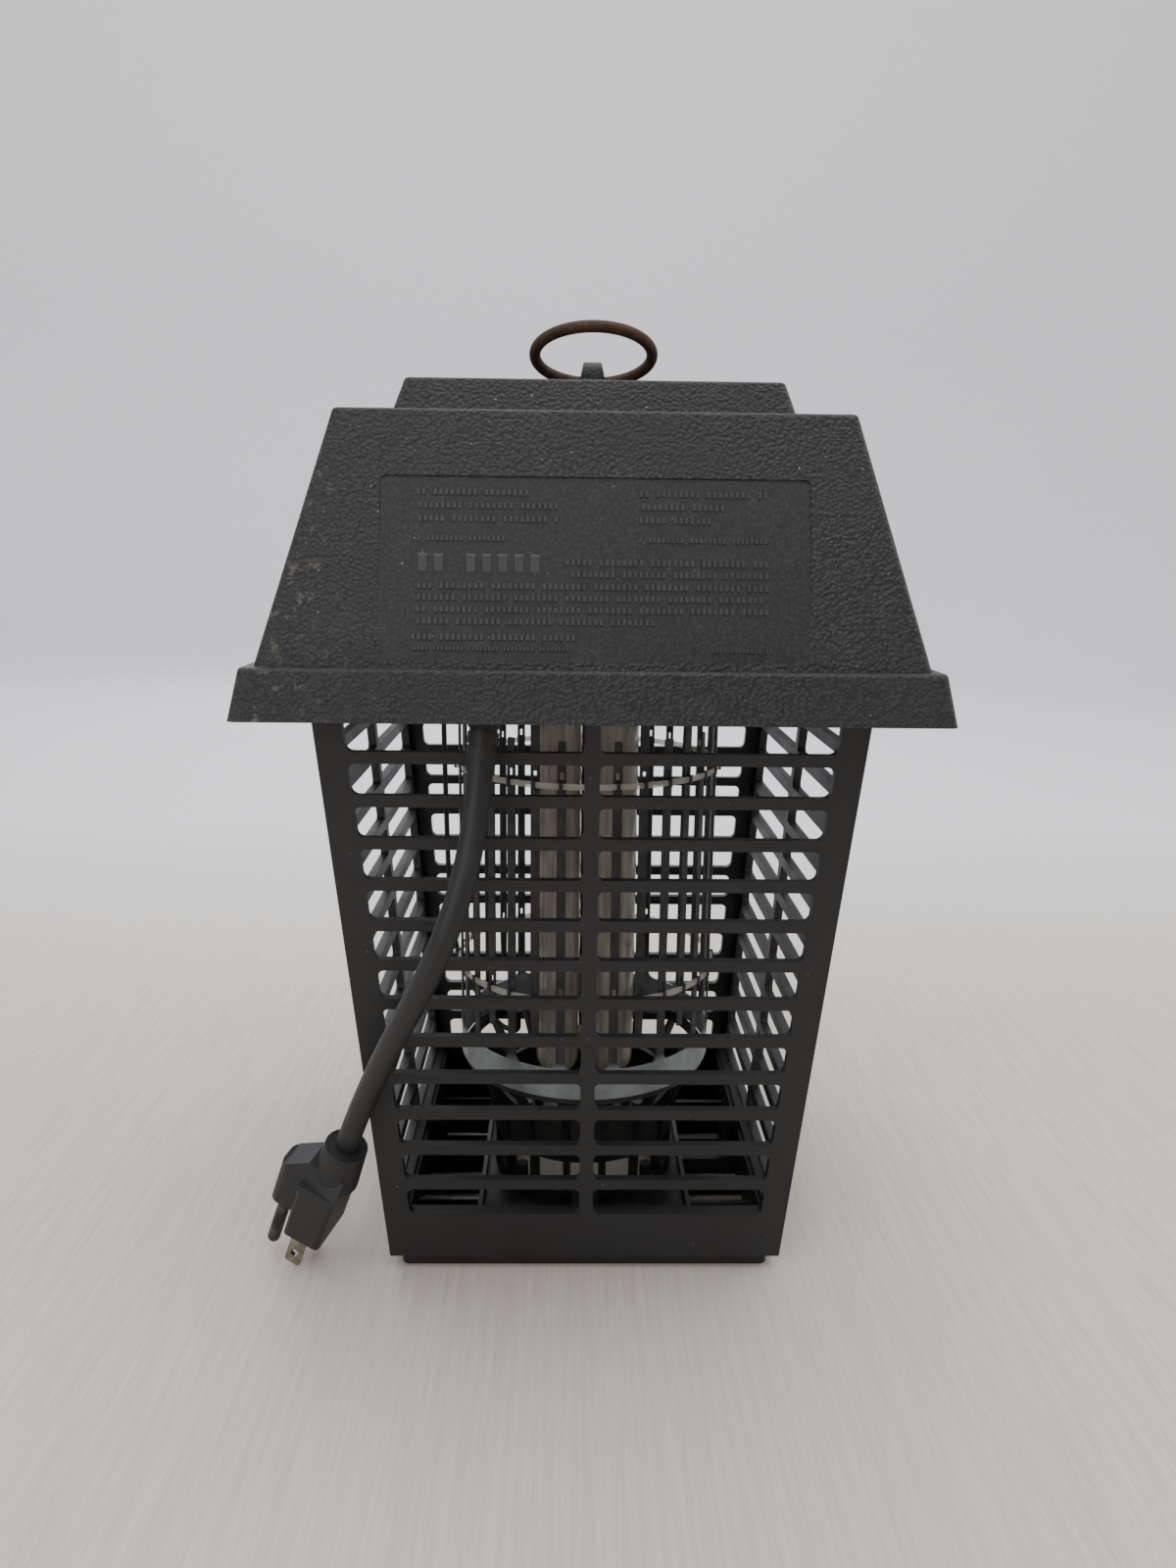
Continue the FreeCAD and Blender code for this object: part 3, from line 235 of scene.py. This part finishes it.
# ---------------------------------------------------------------- plastics
def grained_polypropylene(look):
    """Moulded polypropylene with leather grain: dull, softly mottled, pale dust over its pebbles and edges,
    and a painted sheen that makes the pebble tops paler.
    """
    material, tree, shader, place = blank("moulded polypropylene, leather grain", **{"IOR": 1.49})
    warp = put(tree, "ShaderNodeTexNoise", inputs={"Vector": place,
               "Scale": 0.25 / look.grain, "Detail": 2.0})
    bent = put(tree, "ShaderNodeVectorMath", operation="MULTIPLY_ADD",
               inputs={0: warp.outputs["Color"], 2: place, 1: (look.grain * 1.2,) * 3})
    cells = put(tree, "ShaderNodeTexVoronoi", inputs={"Vector": bent.outputs["Vector"],
                "Scale": 1.0 / look.grain, "Smoothness": 0.6}, feature="SMOOTH_F1")
    fine = mottle(tree, place, 0.5 * MM, 3.0)
    parts = put(tree, "ShaderNodeSeparateXYZ", inputs={"Vector": place})
    x_inside = put(tree, "ShaderNodeMath", operation="ABSOLUTE", inputs={0: parts.outputs["X"]})
    across = ramped(tree, x_inside.outputs[0], PLATE_HALF_WIDTH * MM, (PLATE_HALF_WIDTH - PLATE_FADE) * MM)
    low = ramped(tree, parts.outputs["Z"], PLATE_LOW * MM, (PLATE_LOW + PLATE_FADE) * MM)
    high = ramped(tree, parts.outputs["Z"], PLATE_HIGH * MM, (PLATE_HIGH - PLATE_FADE) * MM)
    front = ramped(tree, parts.outputs["Y"], PLATE_FRONT * MM, (PLATE_FRONT - 2.0) * MM)
    plate = across
    for limit in (low, high, front):
        plate = put(tree, "ShaderNodeMath", operation="MULTIPLY", inputs={0: plate, 1: limit}).outputs[0]
    grain = ramped(tree, cells.outputs["Distance"], 0.0, 0.8, 1.0, 0.0)
    grain = put(tree, "ShaderNodeMath", operation="MULTIPLY_ADD", inputs={0: fine, 2: grain, 1: 0.25})
    smooth_plate = put(tree, "ShaderNodeMix", data_type="FLOAT",
                       inputs={0: plate, 2: grain.outputs[0], 3: 0.5})
    relief(tree, shader, smooth_plate.outputs[0], 0.35 * MM, 1.0)
    patches = mottle(tree, place, 45 * MM, 6.0, 0.65)
    base = tinted(tree, ramped(tree, patches, 0.35, 0.7), linear(look.roof_colour), linear("1f2025"))
    # painted sheen: the tops of the pebbles are painted a paler grey, as if light caught them
    painted_pebble_sheen = ramped(tree, cells.outputs["Distance"], 0.15, 0.6, 0.55, 0.0)
    base = tinted(tree, painted_pebble_sheen, base, linear("34353b"))
    corner = ramped(tree, parts.outputs["X"], -0.072, -0.1)
    scuff = ramped(tree, mottle(tree, place, 5 * MM, 6.0, 0.75), 0.56, 0.66, 0.0, 0.6)
    scuff = put(tree, "ShaderNodeMath", operation="MULTIPLY", inputs={0: scuff, 1: corner}).outputs[0]
    base = tinted(tree, scuff, base, linear("7d766a"))
    dust = ramped(tree, mottle(tree, place, 14 * MM, 8.0, 0.75), 0.56, 0.78, 0.0, 0.35)
    dusty = tinted(tree, dust, base, linear("4b4844"))
    specks = ramped(tree, mottle(tree, place, 2.2 * MM, 2.0), 0.74, 0.78, 0.0, 0.75)
    flecked = tinted(tree, specks, dusty, linear("a29c90"))
    tree.links.new(flecked, shader.inputs["Base Color"])
    tree.links.new(ramped(tree, patches, 0.3, 0.7, 0.5, 0.66), shader.inputs["Roughness"])
    return material


def weathered_polypropylene(name, colour, pale, rough):
    """Smooth moulded polypropylene left outdoors: black, faintly hazed, fine flow marks and dust."""
    material, tree, shader, place = blank(name, **{"IOR": 1.49})
    haze = ramped(tree, mottle(tree, place, 30 * MM, 6.0), 0.4, 0.75)
    base = tinted(tree, haze, linear(colour), linear(pale))
    specks = ramped(tree, mottle(tree, place, 1.8 * MM, 2.0), 0.75, 0.78, 0.0, 0.5)
    flecked = tinted(tree, specks, base, linear("8d887e"))
    tree.links.new(flecked, shader.inputs["Base Color"])
    tree.links.new(ramped(tree, haze, 0.0, 1.0, rough, rough + 0.14), shader.inputs["Roughness"])
    relief(tree, shader, mottle(tree, place, 0.8 * MM, 3.0), 0.06 * MM, 0.5)
    return material


def moulded_plastic(name, colour, second, rough):
    """Small glossy or satin moulding: even colour with slight shading and fine texture."""
    material, tree, shader, place = blank(name, **{"IOR": 1.5, "Roughness": rough})
    base = tinted(tree, ramped(tree, mottle(tree, place, 12 * MM), 0.35, 0.7), linear(colour), linear(second))
    tree.links.new(base, shader.inputs["Base Color"])
    relief(tree, shader, mottle(tree, place, 0.6 * MM, 2.0), 0.03 * MM, 0.4)
    return material


def polycarbonate_strip():
    """Extruded clear polycarbonate strip: see-through, slightly yellowed, with faint lengthwise haze."""
    material, tree, shader, place = blank(
        "extruded polycarbonate strip", **{"IOR": 1.585, "Roughness": 0.22, "Alpha": 0.55})
    stretched = put(tree, "ShaderNodeMapping", inputs={"Vector": place, "Scale": (60, 60, 1500)})
    haze = put(tree, "ShaderNodeTexNoise", inputs={"Vector": stretched.outputs["Vector"], "Scale": 1.0})
    base = tinted(tree, haze.outputs["Fac"], linear("c9c6ba"), linear("e4e2da"))
    tree.links.new(base, shader.inputs["Base Color"])
    return material


# ---------------------------------------------------------------- metals
def rusted_wire(look):
    """Drawn steel wire under rust: brown scale with orange blooms, dark pits and a rough, dry surface."""
    material, tree, shader, place = blank("drawn steel wire, rusted", **{"Metallic": 0.25})
    bloom = ramped(tree, mottle(tree, place, 5 * MM, 8.0, 0.7), 0.38, 0.66)
    base = tinted(tree, bloom, linear("352a24"), linear(look.rust_colour))
    hot = ramped(tree, mottle(tree, place, 1.6 * MM, 4.0), 0.6, 0.75, 0.0, 0.7)
    rust = tinted(tree, hot, base, linear("8a5a34"))
    tree.links.new(rust, shader.inputs["Base Color"])
    tree.links.new(ramped(tree, bloom, 0.0, 1.0, 0.62, 0.9), shader.inputs["Roughness"])
    relief(tree, shader, mottle(tree, place, 1.2 * MM, 6.0, 0.7), 0.25 * MM, 0.8)
    return material


def galvanised_sheet(name, colour, pale, rough, metallic=0.85):
    """Hot-dip galvanised steel sheet: zinc crystals a few millimetres across, dulled by white bloom."""
    material, tree, shader, place = blank(name, **{"Metallic": metallic})
    spangle = put(tree, "ShaderNodeTexVoronoi", inputs={"Vector": place, "Scale": 1.0 / (4 * MM)})
    tone = put(tree, "ShaderNodeSeparateColor", inputs={"Color": spangle.outputs["Color"]})
    base = tinted(tree, tone.outputs["Red"], linear(colour), linear(pale))
    bloom = ramped(tree, mottle(tree, place, 9 * MM, 6.0), 0.45, 0.7, 0.0, 0.6)
    dull = tinted(tree, bloom, base, linear("7d8184"))
    tree.links.new(dull, shader.inputs["Base Color"])
    roughness = ramped(tree, tone.outputs["Green"], 0.0, 1.0, rough, rough + 0.18)
    tree.links.new(roughness, shader.inputs["Roughness"])
    relief(tree, shader, mottle(tree, place, 1.5 * MM, 3.0), 0.04 * MM, 0.4)
    return material


def scorched_sheet(name, bright_below):
    """Galvanised sheet dulled dark by sparks and soot above a height, bare blue-grey zinc below it."""
    material, tree, shader, place = blank(name)
    parts = put(tree, "ShaderNodeSeparateXYZ", inputs={"Vector": place})
    soot = ramped(tree, parts.outputs["Z"], bright_below, bright_below + 3 * MM)
    cloud = ramped(tree, mottle(tree, place, 7 * MM, 5.0), 0.35, 0.7)
    zinc = tinted(tree, cloud, linear("8b949b"), linear("a4acb1"))
    dark = tinted(tree, cloud, linear("37383a"), linear("4d4e50"))
    tree.links.new(tinted(tree, soot, zinc, dark), shader.inputs["Base Color"])
    tree.links.new(ramped(tree, soot, 0.0, 1.0, 0.75, 0.35), shader.inputs["Metallic"])
    tree.links.new(ramped(tree, soot, 0.0, 1.0, 0.42, 0.6), shader.inputs["Roughness"])
    relief(tree, shader, mottle(tree, place, 1.5 * MM, 3.0), 0.04 * MM, 0.4)
    return material


def plated_metal(name, colour, tarnish, rough):
    """Plated or drawn metal part: fine brushed streaks and darker tarnish in patches."""
    material, tree, shader, place = blank(name, **{"Metallic": 1.0})
    stretched = put(tree, "ShaderNodeMapping", inputs={"Vector": place, "Scale": (2500, 2500, 180)})
    streaks = put(tree, "ShaderNodeTexNoise", inputs={"Vector": stretched.outputs["Vector"], "Scale": 1.0})
    patch = ramped(tree, mottle(tree, place, 4 * MM, 5.0), 0.4, 0.68)
    tree.links.new(tinted(tree, patch, linear(colour), linear(tarnish)), shader.inputs["Base Color"])
    roughness = ramped(tree, streaks.outputs["Fac"], 0.3, 0.7, rough, rough + 0.2)
    tree.links.new(roughness, shader.inputs["Roughness"])
    relief(tree, shader, streaks.outputs["Fac"], 0.02 * MM, 0.4)
    return material


def laminated_core():
    """Stacked silicon-steel laminations under varnish: fine parallel lines half a millimetre apart."""
    material, tree, shader, place = blank("silicon-steel laminations, varnished", **{"Metallic": 0.5})
    lines = put(tree, "ShaderNodeTexWave", bands_direction="Y", inputs={"Vector": place,
                "Scale": 1.0 / (3.2 * MM), "Distortion": 0.6, "Detail": 2.0})
    base = tinted(tree, lines.outputs["Fac"], linear("2c2a29"), linear("5a5652"))
    tree.links.new(base, shader.inputs["Base Color"])
    shader.inputs["Roughness"].default_value = 0.45
    relief(tree, shader, lines.outputs["Fac"], 0.08 * MM, 0.6)
    return material


# ---------------------------------------------------------------- lamp, rubber and floor
def phosphor_tube():
    """Drawn glass tube with phosphor inside, unlit: grey tan, faint upright streaks, glossy skin."""
    material, tree, shader, place = blank(
        "drawn glass tube, phosphor coated",
        **{"IOR": 1.5, "Roughness": 0.2, "Coat Weight": 0.5, "Coat Roughness": 0.08})
    stretched = put(tree, "ShaderNodeMapping", inputs={"Vector": place, "Scale": (330, 330, 28)})
    streaks = put(tree, "ShaderNodeTexNoise", inputs={"Vector": stretched.outputs["Vector"],
                  "Scale": 1.0, "Detail": 5.0, "Distortion": 0.4})
    base = tinted(tree, ramped(tree, streaks.outputs["Fac"], 0.35, 0.65), linear("8a867c"), linear("b0aca2"))
    tree.links.new(base, shader.inputs["Base Color"])
    return material


def rubber_jacket(lead):
    """Extruded thermoplastic rubber jacket: soft charcoal, matt, with scuffs and dust along it."""
    material, tree, shader, place = blank("extruded rubber jacket", **{"IOR": 1.5})
    scuff = ramped(tree, mottle(tree, place, 7 * MM, 7.0, 0.7), 0.45, 0.75)
    base = tinted(tree, scuff, linear(lead.jacket_colour), linear("232528"))
    tree.links.new(base, shader.inputs["Base Color"])
    tree.links.new(ramped(tree, scuff, 0.0, 1.0, 0.5, 0.68), shader.inputs["Roughness"])
    relief(tree, shader, mottle(tree, place, 1.0 * MM, 4.0), 0.07 * MM, 0.5)
    return material


def screed_floor(stage):
    """Trowelled pale screed, plain: soft lengthwise streaks that fade to a white surround."""
    material, tree, shader, place = blank("trowelled screed", **{"Roughness": 0.62})
    stretched = put(tree, "ShaderNodeMapping", inputs={"Vector": place, "Scale": (420, 14, 10)})
    streaks = put(tree, "ShaderNodeTexNoise", inputs={"Vector": stretched.outputs["Vector"],
                  "Scale": 1.0, "Detail": 8.0, "Roughness": 0.75})
    streaked = ramped(tree, streaks.outputs["Fac"], 0.3, 0.7)
    near = tinted(tree, streaked, linear(stage.floor_colour), linear("d6d0c6"))
    parts = put(tree, "ShaderNodeSeparateXYZ", inputs={"Vector": place})
    away = ramped(tree, parts.outputs["Y"], 0.15, 0.6)
    whole = tinted(tree, away, near, linear("e4e5ea"))
    tree.links.new(whole, shader.inputs["Base Color"])
    return material


# ---------------------------------------------------------------- made pieces
def mark_row(up, left, right, height, pitch_share=0.8):
    """Centres and half sizes of evenly spaced upright blocks that fill a row, in plate millimetres."""
    width = height * pitch_share
    count = max(1, int((right - left) / width))
    across = left + (np.arange(count) + 0.5) * width
    gaps = (np.arange(count) * 7 + int(up * 10)) % 9 != 4
    across = across[gaps]
    half = np.full(len(across), width * 0.34)
    return np.stack([across, np.full(len(across), up), half, np.full(len(across), height / 2)], 1)


def rating_marks(material):
    """Raised blocks on the plate. Each block is a low frustum: its foot rectangle is carried up by the
    raise and drawn in by a fifth, and the top is closed by one face."""
    rows = [
        (53.9, -55.9, -19.2, 2.2), (53.9, 13.2, 54.4, 2.2), (49.7, -55.3, -10.2, 2.2),
        (49.7, 13.8, 40.8, 2.2), (45.5, -55.3, -10.2, 2.2), (45.5, 13.2, 37.8, 2.2),
        (39.3, -55.3, -26.7, 1.8), (39.3, 13.2, 55.3, 1.8), (31.4, -55.9, -14.7, 6.2),
        (32.0, -9.6, 55.3, 2.2), (28.3, -9.6, 55.3, 2.2), (24.4, -55.3, 55.3, 2.2),
        (20.7, -55.3, 55.3, 2.2), (17.0, -55.3, 55.3, 2.2), (13.3, -55.3, 19.8, 2.2),
        (8.4, -56.8, -5.7, 2.2), (4.8, -55.9, -5.7, 1.5), (4.8, 35.7, 55.3, 1.5),
    ]
    blocks = np.concatenate([mark_row(*row) for row in rows])
    corner = np.array([(-1, -1), (1, -1), (1, 1), (-1, 1)], float)
    foot = blocks[:, None, :2] + corner * blocks[:, None, 2:]
    head = blocks[:, None, :2] + corner * blocks[:, None, 2:] * 0.8
    flat = np.concatenate([foot, head], 1)
    lift = np.array([-0.05] * 4 + [MARK_RAISE] * 4)
    run, rise = PLATE_SLOPE
    length = math.hypot(run, rise)
    up = np.array([0.0, run, rise]) / length
    out = np.array([0.0, -rise, run]) / length
    origin = np.array(PLATE_FOOT) - out * PLATE_SINK
    points = (origin + flat[..., :1] * np.array([1.0, 0.0, 0.0]) + (flat[..., 1:] + PLATE_START) * up
              + lift[None, :, None] * out)
    quads = np.array([(4, 5, 6, 7), (0, 1, 5, 4), (1, 2, 6, 5), (2, 3, 7, 6), (3, 0, 4, 7), (3, 2, 1, 0)])
    faces = (quads[None] + 8 * np.arange(len(blocks))[:, None, None]).reshape(-1, 4)
    return piece("rating_plate_marks", points * MM, faces, material, smooth=False)


def mains_lead(lead, material):
    """The lead as one open NURBS spline whose control points are the route."""
    curve = bpy.data.curves.new("mains_lead", "CURVE")
    curve.dimensions = "3D"
    spline = curve.splines.new("NURBS")
    spline.points.add(len(CORD_ROUTE) - 1)
    for point, place in zip(spline.points, CORD_ROUTE):
        point.co = (*place, 1.0)
    spline.order_u = 3
    spline.use_endpoint_u = True
    spline.resolution_u = 24
    curve.bevel_depth = lead.diameter / 2
    curve.bevel_resolution = 8
    curve.use_fill_caps = True
    curve.materials.append(material)
    thing = bpy.data.objects.new("mains_lead", curve)
    bpy.context.scene.collection.objects.link(thing)
    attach(thing, HOUSING)
    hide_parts("power_cord")
    return thing


# ---------------------------------------------------------------- operators
class LANTERN_OT_roof(bpy.types.Operator):
    """Finish the roof and raise the marks on its rating plate"""
    bl_idname = "lantern.roof"
    bl_label = "Roof"

    def execute(self, context):
        plastic = grained_polypropylene(context.scene.lantern_finish)
        coat(["roof_cover"], plastic)
        rating_marks(moulded_plastic("moulded polypropylene, smooth", "2e2f31", "37383a", 0.5))
        return {"FINISHED"}


class LANTERN_OT_ring(bpy.types.Operator):
    """Finish the hanging ring"""
    bl_idname = "lantern.ring"
    bl_label = "Hanging ring"

    def execute(self, context):
        coat(["hanging_ring"], rusted_wire(context.scene.lantern_finish))
        return {"FINISHED"}


class LANTERN_OT_cage(bpy.types.Operator):
    """Finish the four slatted panels"""
    bl_idname = "lantern.cage"
    bl_label = "Slatted panels"

    def execute(self, context):
        colour = context.scene.lantern_finish.cage_colour
        plastic = weathered_polypropylene("moulded polypropylene, panels", colour, "1d1e23", 0.46)
        coat(nodes_like("grille_"), plastic)
        return {"FINISHED"}


class LANTERN_OT_base(bpy.types.Operator):
    """Finish the base tray and the support that carries the grid"""
    bl_idname = "lantern.base"
    bl_label = "Base and support"

    def execute(self, context):
        tray = weathered_polypropylene("moulded polypropylene, tray", "161718", "212223", 0.4)
        coat(["base_tray"], tray)
        support = weathered_polypropylene("moulded polyamide, support", "1a1b1c", "272829", 0.45)
        coat(["lower_grid_support"], support)
        return {"FINISHED"}


class LANTERN_OT_grid(bpy.types.Operator):
    """Finish the electrodes, the strips round them and their insulators"""
    bl_idname = "lantern.grid"
    bl_label = "Grid"

    def execute(self, context):
        coat(["upper_electrode"], scorched_sheet("galvanised sheet, scorched", 0.0))
        coat(["lower_electrode"], scorched_sheet("galvanised sheet, scorched fingers", BAND_TOP))
        coat(["upper_hoop", "lower_hoop"], polycarbonate_strip())
        porcelain = moulded_plastic("fired porcelain, bare", "ded9cd", "eeebe2", 0.55)
        coat(nodes_like("upper_insulator"), porcelain)
        return {"FINISHED"}


class LANTERN_OT_lamp(bpy.types.Operator):
    """Finish the lamp, its base, its pins and its socket"""
    bl_idname = "lantern.lamp"
    bl_label = "Lamp"

    def execute(self, context):
        coat(["lamp_tubes"], phosphor_tube())
        coat(["lamp_base"], moulded_plastic("moulded thermoset, off-white", "cfc8b6", "dcd6c7", 0.4))
        coat(["lamp_pins"], plated_metal("drawn brass pins", "c2a25f", "8d7746", 0.25))
        cream = moulded_plastic("moulded thermoset, cream", "ddd6c4", "e8e3d6", 0.42)
        coat(["lamp_socket", "starter_socket"], cream)
        return {"FINISHED"}


class LANTERN_OT_electrics(bpy.types.Operator):
    """Finish the transformer, ballast, starter, leads and chassis under the roof"""
    bl_idname = "lantern.electrics"
    bl_label = "Electrics"

    def execute(self, context):
        coat(["transformer_core", "ballast_core"], laminated_core())
        tape = moulded_plastic("wound polyester tape, amber", "9a6a24", "b98538", 0.3)
        coat(["transformer_winding", "ballast_winding"], tape)
        strip = plated_metal("zinc-plated strip", "a4a6a8", "808284", 0.35)
        coat(["transformer_strap", "ballast_strap"], strip)
        coat(["starter_can"], plated_metal("drawn aluminium can", "c6c8ca", "a8aaac", 0.3))
        coat(nodes_like("wire_nut"), moulded_plastic("moulded nylon, yellow", "c49a2e", "d3ae4a", 0.4))
        black = moulded_plastic("extruded PVC, black", "1b1b1c", "29292a", 0.4)
        coat(["line_lead", "transformer_lead"], black)
        white = moulded_plastic("extruded PVC, white", "d4d2ca", "e3e1da", 0.4)
        coat(["neutral_lead", "ballast_lead", "lamp_lead"], white)
        coat(["ground_lead"], moulded_plastic("extruded PVC, green", "2c6538", "397a46", 0.4))
        dark = moulded_plastic("extruded silicone, black", "17181a", "232426", 0.5)
        coat(["upper_grid_lead", "lower_grid_lead"], dark)
        coat(["ground_terminal"], plated_metal("tinned brass terminal", "b89a5e", "8f7848", 0.3))
        coat(["chassis_plate"], galvanised_sheet("galvanised plate", "85898c", "a0a4a7", 0.42))
        screws = plated_metal("zinc-plated screws, dulled", "8f8c86", "5d5a55", 0.35)
        coat([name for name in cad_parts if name.endswith(("_screws", "_screw"))], screws)
        return {"FINISHED"}


class LANTERN_OT_lead(bpy.types.Operator):
    """Make the mains lead and finish its strain relief and plug"""
    bl_idname = "lantern.lead"
    bl_label = "Mains lead and plug"

    def execute(self, context):
        lead = context.scene.lantern_lead
        jacket = rubber_jacket(lead)
        cord = mains_lead(lead, jacket)
        coat(["cord_strain_relief"], jacket)
        coat(["plug_body"], weathered_polypropylene("moulded PVC, plug", "17181c", "242529", 0.5))
        coat(["plug_blades"], plated_metal("nickel-plated brass blades", "a29b8c", "6f685b", 0.3))
        coat(["plug_ground_pin"], plated_metal("plated steel pin, tarnished", "5b5a58", "353433", 0.4))
        return {"FINISHED"}


class LANTERN_OT_stage(bpy.types.Operator):
    """Lay the floor, hang the soft lights and set the camera"""
    bl_idname = "lantern.stage"
    bl_label = "Stage"

    def execute(self, context):
        stage = context.scene.lantern_stage
        turns = np.arange(FLOOR_TURNS) * 2 * math.pi / FLOOR_TURNS
        bend = np.linspace(0, math.pi / 2, BEND_STEPS)
        wall = FLOOR_FLAT + FLOOR_BEND
        radii = np.concatenate([[FLOOR_CENTRE, 0.3, 0.8], FLOOR_FLAT + FLOOR_BEND * np.sin(bend), [wall]])
        heights = np.concatenate([[0, 0, 0], FLOOR_BEND * (1 - np.cos(bend)), [FLOOR_TOP]])
        rim = np.stack([np.outer(radii, np.cos(turns)), np.outer(radii, np.sin(turns)),
                        np.outer(heights, np.ones(len(turns)))], -1)
        faces = grid_faces(len(radii), len(turns), True)
        floor = piece("floor", rim, faces, screed_floor(stage), body=None)

        camera_data = bpy.data.cameras.new("camera")
        camera_data.lens = CAMERA_LENS
        camera_data.sensor_width = 36.0
        camera_data.clip_start = 0.01
        camera = bpy.data.objects.new("camera", camera_data)
        yaw, pitch, roll = CAMERA_YAW, CAMERA_PITCH, CAMERA_ROLL
        aside = Vector((math.cos(yaw), math.sin(yaw), 0))
        ahead = Vector((-math.sin(yaw), math.cos(yaw), 0))
        look = math.cos(pitch) * ahead - math.sin(pitch) * Vector((0, 0, 1))
        up = math.sin(pitch) * ahead + math.cos(pitch) * Vector((0, 0, 1))
        right = math.cos(roll) * aside - math.sin(roll) * up
        top = math.sin(roll) * aside + math.cos(roll) * up
        turn = Matrix((right, top, -look)).transposed().to_4x4()
        camera.matrix_world = Matrix.Translation(CAMERA_PLACE) @ turn
        context.scene.collection.objects.link(camera)
        context.scene.camera = camera

        for name, place, target, size, share in LIGHTS:
            light_data = bpy.data.lights.new(name, "AREA")
            light_data.size = size
            light_data.energy = stage.key_power * share
            light = bpy.data.objects.new(name, light_data)
            aim = Vector(target) - Vector(place)
            facing = aim.to_track_quat("-Z", "Y").to_matrix().to_4x4()
            light.matrix_world = Matrix.Translation(place) @ facing
            context.scene.collection.objects.link(light)

        world = bpy.data.worlds.new("surround")
        world.use_nodes = True
        sky = world.node_tree.nodes["Background"]
        sky.inputs["Color"].default_value = linear("f1f1f2")
        sky.inputs["Strength"].default_value = stage.sky_strength
        context.scene.world = world
        return {"FINISHED"}


class LANTERN_PT_panel(bpy.types.Panel):
    """Sidebar list of the lantern's parts"""
    bl_idname = "LANTERN_PT_panel"
    bl_label = "Lantern"
    bl_space_type = "VIEW_3D"
    bl_region_type = "UI"
    bl_category = "Lantern"

    def draw(self, context):
        scene = context.scene
        for settings in (scene.lantern_finish, scene.lantern_lead, scene.lantern_stage):
            for name in settings.__annotations__:
                self.layout.prop(settings, name)
        for operator in OPERATORS:
            self.layout.operator(operator.bl_idname)


OPERATORS = (LANTERN_OT_stage, LANTERN_OT_lead, LANTERN_OT_roof, LANTERN_OT_ring, LANTERN_OT_cage,
             LANTERN_OT_base, LANTERN_OT_grid, LANTERN_OT_lamp, LANTERN_OT_electrics)
CLASSES = (LanternFinish, LanternLead, LanternStage) + OPERATORS + (LANTERN_PT_panel,)


def register():
    for cls in CLASSES:
        bpy.utils.register_class(cls)
    bpy.types.Scene.lantern_finish = bpy.props.PointerProperty(type=LanternFinish)
    bpy.types.Scene.lantern_lead = bpy.props.PointerProperty(type=LanternLead)
    bpy.types.Scene.lantern_stage = bpy.props.PointerProperty(type=LanternStage)


def unregister():
    del bpy.types.Scene.lantern_stage
    del bpy.types.Scene.lantern_lead
    del bpy.types.Scene.lantern_finish
    for cls in reversed(CLASSES):
        bpy.utils.unregister_class(cls)


def main():
    register()
    for operator in OPERATORS:
        group, name = operator.bl_idname.split(".")
        getattr(getattr(bpy.ops, group), name)()


if __name__ == "__main__":
    main()
